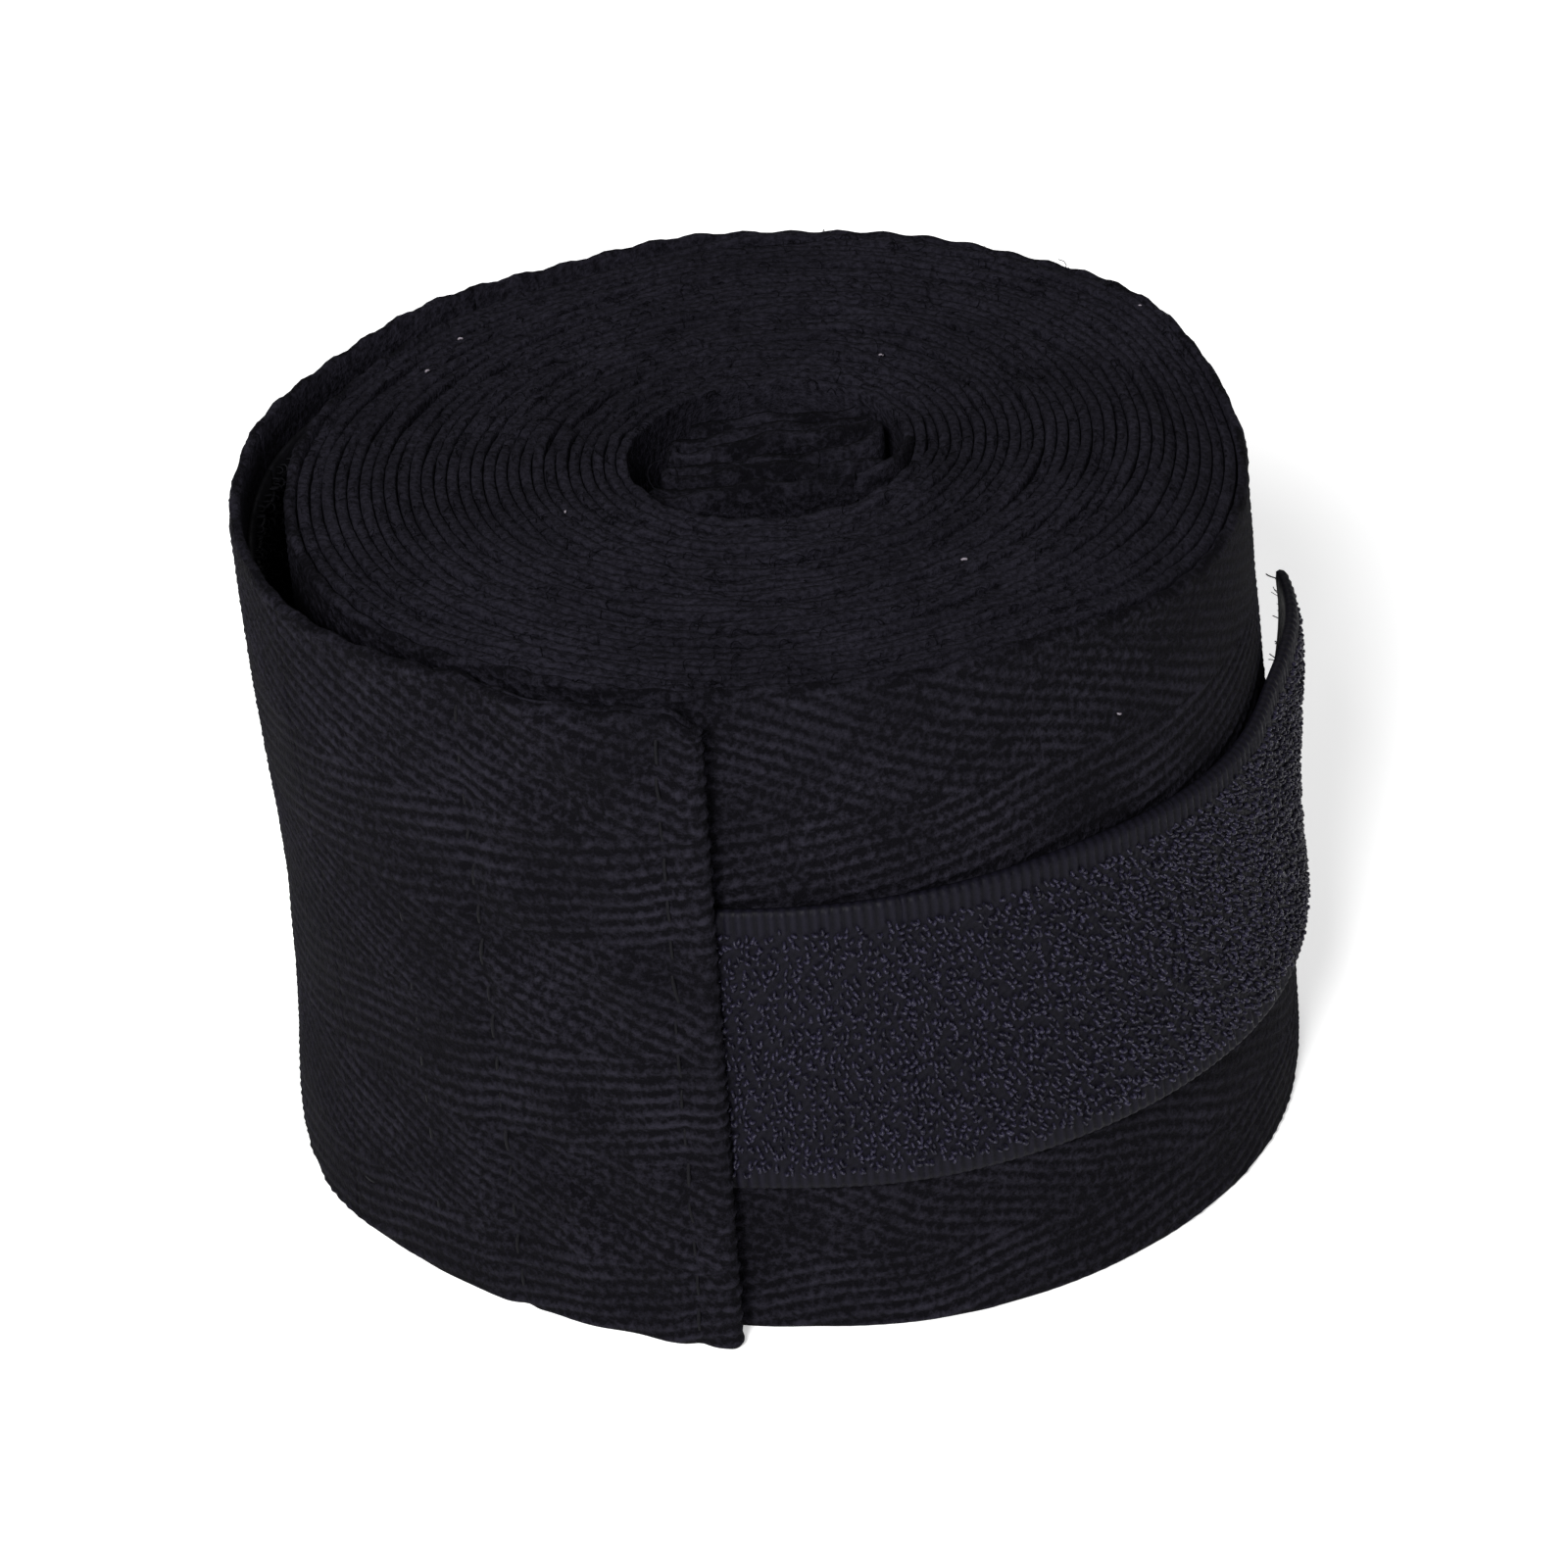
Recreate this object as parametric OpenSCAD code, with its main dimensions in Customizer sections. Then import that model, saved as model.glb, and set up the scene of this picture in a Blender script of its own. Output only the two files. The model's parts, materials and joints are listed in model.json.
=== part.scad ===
// Hand wrap, rolled up and standing on its edge.
//
// One long cotton webbing strip is folded in the core, wound outwards anticlockwise (seen from above)
// and ends in a turned hem. A hook strap is sewn under the hem and goes on round the roll.
// The roll's axis is Z, the surface that it stands on is z = 0, and the hem faces the front, -Y.
// Angles are measured anticlockwise from +X. The last turn starts at 0 and the hem edge is at 261.

/* [Webbing] */
// Width of the webbing, which is the height of the standing roll
webbing_width = 50; // [40:0.5:60]
// Thickness of the webbing
webbing_thickness = 0.74; // [0.6:0.02:0.9]
// Full turns wound around the core, the loose outer one included
turn_count = 29; // [20:1:36]
// Air between one turn and the next
turn_gap = 0.06; // [0.05:0.01:0.12]

/* [Core] */
// Radius of the hollow that the inner end is folded into
core_radius = 9.4; // [8.5:0.1:12]
// Depth of the folded inner end below the roll's upper face
core_sink = 1.5; // [0:0.5:5]
// Folds that lie in front of the roll's axis
folds_before_axis = 4; // [2:1:4]
// Folds that lie behind the roll's axis
folds_behind_axis = 2; // [0:1:2]
// Air between the folds, and between the folds and the first turn
fold_room = 0.3; // [0.2:0.05:0.4]

/* [Thumb loop] */
// Width of the thumb loop's tape
loop_tape_width = 12; // [8:1:20]
// Thickness of the thumb loop's tape
loop_tape_thickness = 0.6; // [0.5:0.05:0.7]
// Air between the two runs of the flattened loop
loop_slit = 0.12; // [0.1:0.01:0.2]
// Times that the flattened loop runs across the core
loop_passes = 3; // [1:1:3]

/* [Loose outer turn] */
// Angle at which the outer turn starts to stand off the roll
lift_start_angle = 70; // [30:5:90]
// Angle of the fold line where the loose tail starts
tail_angle = 150; // [140:1:160]
// Angle of the fold line in the middle of the tail
tail_middle_angle = 190; // [180:1:200]
// Angle of the fold line behind the hem
hem_hinge_angle = 228; // [220:1:229]
// Angle of the hem edge
hem_edge_angle = 261; // [259:1:270]
// Air left at each fold line
hinge_gap = 0.5; // [0.4:0.05:0.8]

/* [Hem] */
// Length of webbing turned under at the hem
hem_turn_length = 17.5; // [14:0.5:18.5]
// Distance from the hem edge to the edge seam
edge_seam_inset = 2; // [1.5:0.25:4]
// Distance from the raw edge of the turned webbing to the rear seam
rear_seam_inset = 2; // [1.5:0.25:4]
// Air between sewn layers
ply_gap = 0.03; // [0.02:0.01:0.08]

/* [Hook strap] */
// Width of the hook strap
strap_width = 22; // [16:0.5:30]
// Height of the strap's lower edge above the surface
strap_bottom = 12.5; // [5:0.5:16]
// Length of strap showing past the hem edge
strap_length = 66; // [50:1:80]
// Length of strap past the hem edge that stays in line with the hem
strap_root_reach = 2.5; // [2:0.25:4]
// Thickness of the woven strap under the hooks
strap_thickness = 0.7; // [0.5:0.05:1]
// Air between the closed strap and the roll
strap_gap = 0.25; // [0.2:0.05:0.5]
// How far the free end stands further off the roll
free_end_lift = 1.2; // [0:0.1:2]
// Plain selvedge along both edges of the strap
strap_selvedge = 1.7; // [1:0.1:3]
// Height of the hooks
hook_height = 1; // [0.6:0.1:1.5]
// Distance between two rows of hooks
hook_pitch = 1.6; // [1.2:0.1:2.5]
// Thickness of a row of hooks
hook_row = 0.6; // [0.4:0.05:0.9]

/* [Loop patch] */
// Width of the loop patch
patch_width = 44; // [20:1:45]
// Distance from the surface to the patch's lower edge
patch_bottom = 3; // [2:0.5:10]
// Thickness of the loop patch
patch_thickness = 1.1; // [0.8:0.1:1.3]
// Distance from the ends of the patch to the fold lines
patch_end_inset = 2; // [1:0.5:4]

/* [Stitches] */
// Thickness of the sewing thread
thread = 0.45; // [0.3:0.05:0.6]
// Length of one stitch
stitch_length = 2.2; // [1.5:0.1:3]
// Distance from one stitch to the next
stitch_pitch = 3; // [3:0.1:4]
// How far the thread stands out of the webbing's outer face
stitch_rise = 0.2; // [0.1:0.05:0.3]
// How far the thread stands out of the inner face
stitch_sink = 0.12; // [0.05:0.01:0.15]
// Distance from the webbing's or patch's edges to the first and last stitch
seam_end_inset = 1.5; // [1:0.25:4]

/* [Hidden] */
$fn = 180;

// Angle between the corners of a loose strip
facet_angle = 2.5;
// Flats that the turn at the hem edge is made of
hem_bend_steps = 12;
// Depth that the rows of hooks reach into the strap that they are woven into
hook_root = 0.1;
// How far a stitch of the thumb loop's bar tack reaches past the layers that it holds
tack_reach = 0.12;
tack_count = 5;

// Winding: upper and lower half turns have centres on opposite sides of the axis, so that the
// radius grows by one pitch in each full turn.
pitch = webbing_thickness + turn_gap;
centre_shift = pitch / 4;
last_turn = 360 * (turn_count - 1);

// Inner radius of the winding at a total angle, counted from the start of the first turn
function turn_radius(a) =
    let (half = floor(a / 180), side = half % 2 == 0 ? -1 : 1)
    core_radius + half * pitch / 2 + side * centre_shift * cos(a);

// Radius of the surface that the last turn and the strap lie on
function rest_radius(a) = turn_radius(last_turn + a);
function polar(r, a) = [r * cos(a), r * sin(a)];
function smooth(x) = let (u = min(1, max(0, x))) u * u * (3 - 2 * u);
function reversed(list) = [for (i = [len(list) - 1 : -1 : 0]) list[i]];
function hundredths(x) = floor(x * 100) / 100;

// Layers above the roll at the hem: strap, turned end, hem face
strap_top = strap_gap + strap_thickness;
turned_base = strap_top + ply_gap;
hem_lift = turned_base + webbing_thickness + ply_gap;
turned_offset = -ply_gap - webbing_thickness;
patch_offset = -ply_gap - patch_thickness;

// Turns a length along the roll's outside into an angle
tail_radius = rest_radius(hem_edge_angle) + hem_lift;
function arc_angle(len) = len / tail_radius * 180 / PI;

// How far the last turn stands off the roll
function tail_lift(a) =
    hem_lift * smooth((a - lift_start_angle) / (tail_angle - 10 - lift_start_angle));

// Angles of the hem's and the strap's ends and fold lines
half_gap_angle = arc_angle(hinge_gap / 2);
turned_start_angle = hem_edge_angle - arc_angle(hem_turn_length);
edge_seam_angle = hem_edge_angle - arc_angle(edge_seam_inset);
rear_seam_angle = turned_start_angle + arc_angle(rear_seam_inset);
strap_hinge_angle = hem_edge_angle + arc_angle(strap_root_reach);
strap_end_angle = hem_edge_angle + arc_angle(strap_length);
strap_arc = (strap_end_angle - strap_hinge_angle) / 3;
function strap_fold(i) = strap_hinge_angle + i * strap_arc;

// How far the strap stands off the roll
function strap_lift(a) = strap_gap + free_end_lift * smooth((a - strap_fold(1)) / (2 * strap_arc));

// Inner end: folds and thumb loop
fold_step = webbing_thickness + fold_room;
fold_bend = fold_step / 2;
link_radius = folds_before_axis * fold_step;
link_x = core_radius - centre_shift + webbing_thickness / 2 - link_radius;
core_clear = core_radius - fold_room;
first_fold_depth = link_radius + webbing_thickness / 2;
fold_left = hundredths(sqrt(core_clear ^ 2 - first_fold_depth ^ 2) - fold_bend
    - webbing_thickness / 2);
right_bend_depth = link_radius - 3 * fold_bend;
right_bend_room = link_radius - webbing_thickness - fold_bend - fold_room / 2;
fold_right = hundredths(link_x + sqrt(right_bend_room ^ 2 - right_bend_depth ^ 2));
fold_runs = folds_before_axis + 1 + folds_behind_axis;
fold_end = fold_runs % 2 == 0 ? fold_right : -fold_left;
last_fold_y = folds_behind_axis * fold_step;
core_height = webbing_width - core_sink;

loop_thickness = 2 * loop_tape_thickness + loop_slit;
loop_step = loop_thickness + fold_room;
loop_bend = loop_step / 2;
loop_first_y = last_fold_y + webbing_thickness / 2 + fold_room + loop_thickness / 2;
loop_top_y = loop_first_y + (loop_passes - 1) * loop_step + loop_thickness / 2;
loop_side = hundredths(sqrt(core_clear ^ 2 - loop_top_y ^ 2) - loop_bend - loop_thickness / 2);
loop_bottom = (webbing_width - loop_tape_width) / 2;

// One upper (even) or lower (odd) half turn of the winding
module half_turn(half) {
    side = half % 2 == 0 ? -1 : 1;
    translate([side * centre_shift, 0, 0])
        rotate([0, 0, side < 0 ? 0 : 180])
            rotate_extrude(angle = 180)
                translate([core_radius + half * pitch / 2, 0])
                    square([webbing_thickness, webbing_width]);
}

// Corner angles of a strip, shared by every layer
function strip_angles(from, to) =
    let (first = floor(from / facet_angle) + 1, last = ceil(to / facet_angle) - 1)
    concat([from], [for (i = [first : last]) i * facet_angle], [to]);

// One face of a strip in plan: offset counts from the inner face of the tail or of the strap
function face(angles, offset, on_strap) =
    [for (a = angles) polar(rest_radius(a) + offset + (on_strap ? strap_lift(a) : tail_lift(a)), a)];

// A strip that follows the roll between two angles
module strip(from, to, offset, thickness, bottom, height, on_strap = false) {
    angles = strip_angles(from, to);
    translate([0, 0, bottom])
        linear_extrude(height)
            polygon(concat(face(angles, offset, on_strap),
                reversed(face(angles, offset + thickness, on_strap))));
}

// Upright bend in plan: half a tube that joins two layers, open towards -X
module bend(mid_radius, thickness, height) {
    rotate([0, 0, -90])
        rotate_extrude(angle = 180)
            translate([mid_radius - thickness / 2, 0])
                square([thickness, height]);
}

// A strip folded to and fro across the core. The first run starts at start_x, and the last one
// ends at end_x. first_side is 1 when the first bend is on the right, and -1 on the left.
module folded_strip(runs, first_y, step, thickness, height, left, right, start_x, end_x, first_side) {
    function side(i) = i % 2 == 0 ? first_side : -first_side;
    function bend_x(i) = side(i) > 0 ? right : -left;
    for (i = [0 : runs - 1]) {
        from_x = i == 0 ? start_x : bend_x(i - 1);
        to_x = i == runs - 1 ? end_x : bend_x(i);
        translate([min(from_x, to_x), first_y + i * step - thickness / 2, 0])
            cube([abs(to_x - from_x), thickness, height]);
    }
    if (runs > 1)
        for (i = [0 : runs - 2])
            translate([bend_x(i), first_y + (i + 0.5) * step, 0])
                rotate([0, 0, side(i) > 0 ? 0 : 180])
                    bend(step / 2, thickness, height);
}

// Stitches one above the other, through every layer between two distances above the roll
module upright_seam(angle, inner, outer, bottom, top) {
    count = floor((top - bottom) / stitch_pitch);
    spacing = (top - bottom) / count;
    for (i = [0 : count - 1])
        rotate([0, 0, angle])
            translate([rest_radius(angle) + inner, -thread / 2, bottom + i * spacing])
                cube([outer - inner, thread, stitch_length]);
}

// Stitches side by side along the roll, at one height
module level_seam(from, to, inner, outer, height) {
    step = arc_angle(stitch_pitch);
    count = floor((to - from) / step);
    for (i = [0 : count - 1])
        rotate([0, 0, from + (i + 0.5) * (to - from) / count])
            translate([rest_radius(from) + inner, -stitch_length / 2, height - thread / 2])
                cube([outer - inner, stitch_length, thread]);
}

// The loop patch's stitches: one upright line at the given angle and two level lines
module patch_seam(upright_angle, from, to) {
    inner = hem_lift + patch_offset - stitch_sink;
    outer = hem_lift + webbing_thickness + stitch_rise;
    low = patch_bottom + seam_end_inset;
    high = patch_bottom + patch_width - seam_end_inset;
    upright_seam(upright_angle, inner, outer, low + stitch_pitch / 2, high - stitch_pitch / 2);
    level_seam(from, to, inner, outer, low);
    level_seam(from, to, inner, outer, high);
}

// Rows of hooks across one part of the strap
module hook_rows(from, to) {
    step = arc_angle(hook_pitch);
    count = floor((to - from) / step);
    for (i = [0 : count - 1]) {
        angle = from + (i + 0.5) * (to - from) / count;
        rotate([0, 0, angle])
            translate([rest_radius(angle) + strap_lift(angle) + strap_thickness - hook_root,
                    -hook_row / 2, strap_bottom + strap_selvedge])
                cube([hook_root + hook_height, hook_row, strap_width - 2 * strap_selvedge]);
    }
}

// Sub-parts

module inner_turns() {
    color("#17161b")
        for (half = [0 : 2 * (turn_count - 1) - 1])
            half_turn(half);
}

module outer_turn() {
    color("#1b1a20")
        strip(0, tail_angle - half_gap_angle, 0, webbing_thickness, 0, webbing_width);
}

module core_fold() {
    color("#1a191e") {
        folded_strip(fold_runs, -link_radius, fold_step, webbing_thickness, core_height,
            fold_left, fold_right, link_x, fold_end, -1);
        translate([link_x, 0, 0])
            rotate([0, 0, -90])
                rotate_extrude(angle = 90)
                    translate([link_radius - webbing_thickness / 2, 0])
                        square([webbing_thickness, core_height]);
    }
}

module thumb_loop() {
    far_x = loop_passes % 2 == 0 ? -loop_side : loop_side;
    near_end = -loop_side - loop_bend;
    far_end = far_x + sign(far_x) * loop_bend;
    color("#222128")
        translate([0, 0, loop_bottom])
            difference() {
                folded_strip(loop_passes, loop_first_y, loop_step, loop_thickness, loop_tape_width,
                    loop_side, loop_side, near_end, far_end, 1);
                translate([0, 0, -1])
                    folded_strip(loop_passes, loop_first_y, loop_step, loop_slit, loop_tape_width + 2,
                        loop_side, loop_side, near_end + loop_tape_thickness,
                        far_end - sign(far_x) * loop_tape_thickness, 1);
            }
}

module thumb_loop_tack() {
    low_y = last_fold_y - webbing_thickness / 2 - tack_reach;
    high_y = loop_first_y + loop_thickness / 2 + tack_reach;
    spacing = (loop_tape_width - thread) / (2 * tack_count);
    color("#2a2930")
        for (i = [0 : 2 * tack_count - 1])
            translate([-loop_side + (i % 2) * stitch_length / 2, low_y,
                    loop_bottom + thread / 2 + i * spacing])
                cube([stitch_length / 2 - 0.1, high_y - low_y, thread]);
}

module tail_rear() {
    color("#1b1a20")
        strip(tail_angle + half_gap_angle, tail_middle_angle - half_gap_angle,
            0, webbing_thickness, 0, webbing_width);
}

module loop_patch_rear() {
    color("#26252c")
        strip(tail_angle + arc_angle(patch_end_inset), tail_middle_angle - half_gap_angle,
            patch_offset, patch_thickness, patch_bottom, patch_width);
}

module patch_seam_rear() {
    end_angle = tail_angle + arc_angle(patch_end_inset + seam_end_inset);
    color("#2a2930")
        patch_seam(end_angle, end_angle + arc_angle(stitch_pitch / 4),
            tail_middle_angle - 2 * half_gap_angle);
}

module tail_middle() {
    color("#1b1a20")
        strip(tail_middle_angle + half_gap_angle, hem_hinge_angle - half_gap_angle,
            0, webbing_thickness, 0, webbing_width);
}

module loop_patch_front() {
    color("#26252c")
        strip(tail_middle_angle + half_gap_angle, hem_hinge_angle - arc_angle(patch_end_inset),
            patch_offset, patch_thickness, patch_bottom, patch_width);
}

module patch_seam_front() {
    end_angle = hem_hinge_angle - arc_angle(patch_end_inset + seam_end_inset);
    color("#2a2930")
        patch_seam(end_angle, tail_middle_angle + 2 * half_gap_angle,
            end_angle - arc_angle(stitch_pitch / 4));
}

module hem_face() {
    color("#1d1c22")
        strip(hem_hinge_angle + half_gap_angle, hem_edge_angle,
            0, webbing_thickness, 0, webbing_width);
}

module hem_turned_end() {
    angles = strip_angles(turned_start_angle, hem_edge_angle);
    centre = polar(rest_radius(hem_edge_angle) + hem_lift - ply_gap / 2, hem_edge_angle);
    turn = [for (i = [0 : hem_bend_steps]) hem_edge_angle + 180 * (1 - i / hem_bend_steps)];
    outside = [for (a = turn) centre + polar(webbing_thickness + ply_gap / 2, a)];
    inside = [for (a = turn) centre + polar(ply_gap / 2, a)];
    color("#1a191e")
        linear_extrude(webbing_width)
            polygon(concat(face(angles, turned_offset, false), outside, reversed(inside),
                reversed(face(angles, -ply_gap, false))));
}

module strap_root() {
    color("#23222e")
        strip(turned_start_angle, strap_hinge_angle - half_gap_angle,
            0, strap_thickness, strap_bottom, strap_width, true);
}

module hem_seam(angle) {
    outer = hem_lift + webbing_thickness + stitch_rise;
    strap_top_z = strap_bottom + strap_width;
    color("#2a2930") {
        upright_seam(angle, turned_base - stitch_sink, outer, seam_end_inset,
            strap_bottom - thread);
        upright_seam(angle, strap_gap - stitch_sink, outer, strap_bottom + thread,
            strap_top_z - thread);
        upright_seam(angle, turned_base - stitch_sink, outer, strap_top_z + thread,
            webbing_width - seam_end_inset);
    }
}

module hem_edge_seam() {
    hem_seam(edge_seam_angle);
}

module hem_rear_seam() {
    hem_seam(rear_seam_angle);
}

module strap_part(i) {
    color("#2b2a3a")
        strip(strap_fold(i) + half_gap_angle,
            i == 2 ? strap_end_angle : strap_fold(i + 1) - half_gap_angle,
            0, strap_thickness, strap_bottom, strap_width, true);
}

module strap_part_hooks(i) {
    color("#33324a")
        hook_rows(strap_fold(i) + 2 * half_gap_angle, strap_fold(i + 1) - 2 * half_gap_angle);
}

inner_turns();
outer_turn();
core_fold();
thumb_loop();
thumb_loop_tack();
tail_rear();
loop_patch_rear();
patch_seam_rear();
tail_middle();
loop_patch_front();
patch_seam_front();
hem_face();
hem_turned_end();
strap_root();
hem_edge_seam();
hem_rear_seam();
strap_part(0);  // strap_near
strap_part_hooks(0);  // strap_near_hooks
strap_part(1);  // strap_middle
strap_part_hooks(1);  // strap_middle_hooks
strap_part(2);  // strap_tip
strap_part_hooks(2);  // strap_tip_hooks
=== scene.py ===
"""Hand wrap, rolled up and standing on its edge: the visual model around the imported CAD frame.

The cotton webbing is folded in the core, wound outwards anticlockwise (seen from above) and ends in
a turned hem at the front. The hook strap comes out from under the hem and goes on round the roll.
Angles are anticlockwise from +X. "Along" is a length on the webbing, and "up" is across its width.
"""

import json
import math

import bpy
import numpy as np
from bpy.props import FloatProperty, FloatVectorProperty, IntProperty, PointerProperty
from mathutils import Matrix, Vector


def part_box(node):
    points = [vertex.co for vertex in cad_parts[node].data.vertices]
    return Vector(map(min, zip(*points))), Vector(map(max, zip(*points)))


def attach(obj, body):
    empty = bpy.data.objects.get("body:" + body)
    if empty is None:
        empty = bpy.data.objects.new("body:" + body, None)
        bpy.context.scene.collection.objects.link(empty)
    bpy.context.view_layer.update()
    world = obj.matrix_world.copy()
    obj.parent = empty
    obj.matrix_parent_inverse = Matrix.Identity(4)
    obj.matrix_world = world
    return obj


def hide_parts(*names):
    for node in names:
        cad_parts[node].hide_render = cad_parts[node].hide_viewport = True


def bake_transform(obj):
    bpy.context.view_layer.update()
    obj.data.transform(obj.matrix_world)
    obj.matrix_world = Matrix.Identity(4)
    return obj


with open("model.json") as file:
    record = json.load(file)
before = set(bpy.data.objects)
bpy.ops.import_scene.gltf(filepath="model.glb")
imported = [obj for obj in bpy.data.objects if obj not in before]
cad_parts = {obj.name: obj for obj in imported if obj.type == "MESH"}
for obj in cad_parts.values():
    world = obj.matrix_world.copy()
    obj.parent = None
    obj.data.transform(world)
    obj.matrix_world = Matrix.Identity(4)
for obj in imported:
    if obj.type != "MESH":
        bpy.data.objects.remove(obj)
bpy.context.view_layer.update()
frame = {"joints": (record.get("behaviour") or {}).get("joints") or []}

bl_info = {
    "name": "Rolled hand wrap",
    "version": (1, 0, 0),
    "blender": (4, 5, 0),
    "location": "View3D > Sidebar > Hand wrap",
    "description": "Builds a rolled cotton hand wrap with its hook strap around the packed frame",
    "category": "Object",
}

MM = 0.001
TAU = 2 * math.pi

# Sizes that the frame gives
ROLL_LOW, ROLL_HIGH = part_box("inner_turns")
STRAP_LOW, STRAP_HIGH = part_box("strap_near")
PATCH_LOW, PATCH_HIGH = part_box("loop_patch_front")
LOOP_LOW, LOOP_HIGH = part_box("thumb_loop")
WIDTH = ROLL_HIGH.z - ROLL_LOW.z
JOINTS = {joint["name"]: joint for joint in frame["joints"]}


def hinge_point(name):
    """Where a hinge's axis stands, in plan."""
    x, y, _ = JOINTS[name]["pos_m"]
    return np.array([x, y])


def hinge_angle(name):
    """The angle round the roll, in degrees, at which a hinge stands."""
    x, y = hinge_point(name)
    return math.degrees(math.atan2(y, x)) % 360


TAIL_REAR = hinge_angle("tail_unroll")
TAIL_HEM = hinge_angle("hem_bend")
STRAP_PEEL = hinge_angle("strap_peel")
STRAP_MIDDLE = hinge_angle("strap_middle_bend")
STRAP_TIP = hinge_angle("strap_tip_bend")
STRAP_END = STRAP_TIP + (STRAP_TIP - STRAP_MIDDLE)


class HandWrapSizes(bpy.types.PropertyGroup):
    """Sizes of the wrap that the frame does not give."""

    thickness: FloatProperty(
        name="Webbing thickness", description="Thickness of the cotton webbing",
        default=0.74 * MM, unit="LENGTH")
    gap: FloatProperty(
        name="Air between turns", description="Air between one turn and the next",
        default=0.06 * MM, unit="LENGTH")
    turns: IntProperty(
        name="Turns", description="Full turns, the loose outer one included", default=29)
    core_radius: FloatProperty(
        name="Core radius", description="Radius of the hollow that the inner end is folded into",
        default=9.4 * MM, unit="LENGTH")
    rib_pitch: FloatProperty(
        name="Rib pitch", description="Distance between two ribs of the herringbone weave",
        default=1.12 * MM, unit="LENGTH")
    rib_height: FloatProperty(
        name="Rib height", description="Height of the herringbone ribs",
        default=0.2 * MM, unit="LENGTH")
    strap_thickness: FloatProperty(
        name="Strap thickness", description="Thickness of the woven strap under the hooks",
        default=0.7 * MM, unit="LENGTH")
    hook_pitch: FloatProperty(
        name="Hook pitch", description="Distance from one hook to the next",
        default=0.55 * MM, unit="LENGTH")
    hook_height: FloatProperty(
        name="Hook height", description="Height of the hooks above the strap",
        default=0.34 * MM, unit="LENGTH")
    stitch_length: FloatProperty(
        name="Stitch length", description="Length of one stitch", default=2.2 * MM, unit="LENGTH")
    thread: FloatProperty(
        name="Thread", description="Thickness of the sewing thread",
        default=0.28 * MM, unit="LENGTH")


class HandWrapColours(bpy.types.PropertyGroup):
    """Colours of the wrap's materials."""

    cotton: FloatVectorProperty(
        name="Cotton", description="Colour of the webbing's ribs", subtype="COLOR", size=3,
        default=(0.0146, 0.0136, 0.02))
    # cotton_shade is painted shade for the webbing's weave valleys between the ribs; the thumb loop's tape
    # uses it as the dark end of its random tone
    cotton_shade: FloatVectorProperty(
        name="Cotton between ribs", description="Colour of the cotton deep in the weave",
        subtype="COLOR", size=3, default=(0.0022, 0.002, 0.0031))
    strap: FloatVectorProperty(
        name="Strap", description="Colour of the strap's woven ground", subtype="COLOR", size=3,
        default=(0.0058, 0.0052, 0.01))
    hooks: FloatVectorProperty(
        name="Hooks", description="Colour of the hooks", subtype="COLOR", size=3,
        default=(0.019, 0.017, 0.033))
    pile: FloatVectorProperty(
        name="Loop pile", description="Colour of the loop patch", subtype="COLOR", size=3,
        default=(0.005, 0.0048, 0.0065))
    thread: FloatVectorProperty(
        name="Thread", description="Colour of the sewing thread", subtype="COLOR", size=3,
        default=(0.0048, 0.0045, 0.0064))
    floor: FloatVectorProperty(
        name="Floor", description="Colour of the floor", subtype="COLOR", size=3,
        default=(0.93, 0.93, 0.93))


def sizes():
    return bpy.context.scene.hand_wrap_sizes


def colours():
    return bpy.context.scene.hand_wrap_colours


# The winding

# The hem's edge in degrees, the length turned under, and the air in the hem and under the strap
HEM_EDGE = 261.0
HEM_TURN = 17.5 * MM
PLY_GAP = 0.03 * MM
STRAP_GAP = 0.25 * MM

# Where the last turn starts to lift off the roll, and the degrees that it takes
LIFT_START = 70.0
LIFT_SPAN = 70.0

# How many waves a ripple adds up, and the sum that counts as 1
RIPPLE_WAVES = 7
RIPPLE_SUM = 3.2

# The sag: how far the foot spreads at both sides and all round, the belly at half height, and how
# far the slipped outer turns have dropped at their upper edge
SIDE_SPREAD = 2.1 * MM
ROUND_SPREAD = 0.5 * MM
BELLY = 0.1 * MM
SLIP_DROP = 3.1 * MM

# Where the roll's side swells, or shrinks if negative: millimetres, then the stretch round the roll
# as its start, rise, end and fall in degrees
LEFT_FLARE = (108, 50, 205, 36)
UPPER_SWELLS = ((0.3, (35, 30, 85, 25)), (1.1, LEFT_FLARE), (-1.0, (95, 25, 145, 25)))
LOWER_SWELLS = ((0.9, (262, 26, 325, 35)), (-0.9, (200, 20, 246, 18)))


def smooth(x):
    """Rises smoothly from 0 to 1 as x goes from 0 to 1."""
    x = np.clip(x, 0, 1)
    return x * x * (3 - 2 * x)


def window(x, start, rise, end, fall):
    """1 between start and end, with soft flanks."""
    return smooth((x - start) / rise) * (1 - smooth((x - end) / fall))


def pitch():
    """How much the winding's radius grows with each turn."""
    return sizes().thickness + sizes().gap


def turn_radius(total_angle):
    """Inner radius of the winding at a total angle in degrees from the start of the first turn."""
    return sizes().core_radius - pitch() / 4 + pitch() * total_angle / 360


def rest_radius(angle):
    """Radius of the surface that the last turn and the strap lie on."""
    return turn_radius(360 * (sizes().turns - 1) + angle)


def hem_lift():
    """How far the hem lies above the roll: over its own turned end and the strap under it."""
    return STRAP_GAP + sizes().strap_thickness + sizes().thickness + 2 * PLY_GAP


def outer_radius():
    """Radius of the hem's underside, used for every length along the outer turns."""
    return rest_radius(HEM_EDGE) + hem_lift()


def arc_angle(length):
    """The degrees that a length takes up round the roll's outer side."""
    return math.degrees(length / outer_radius())


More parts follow.
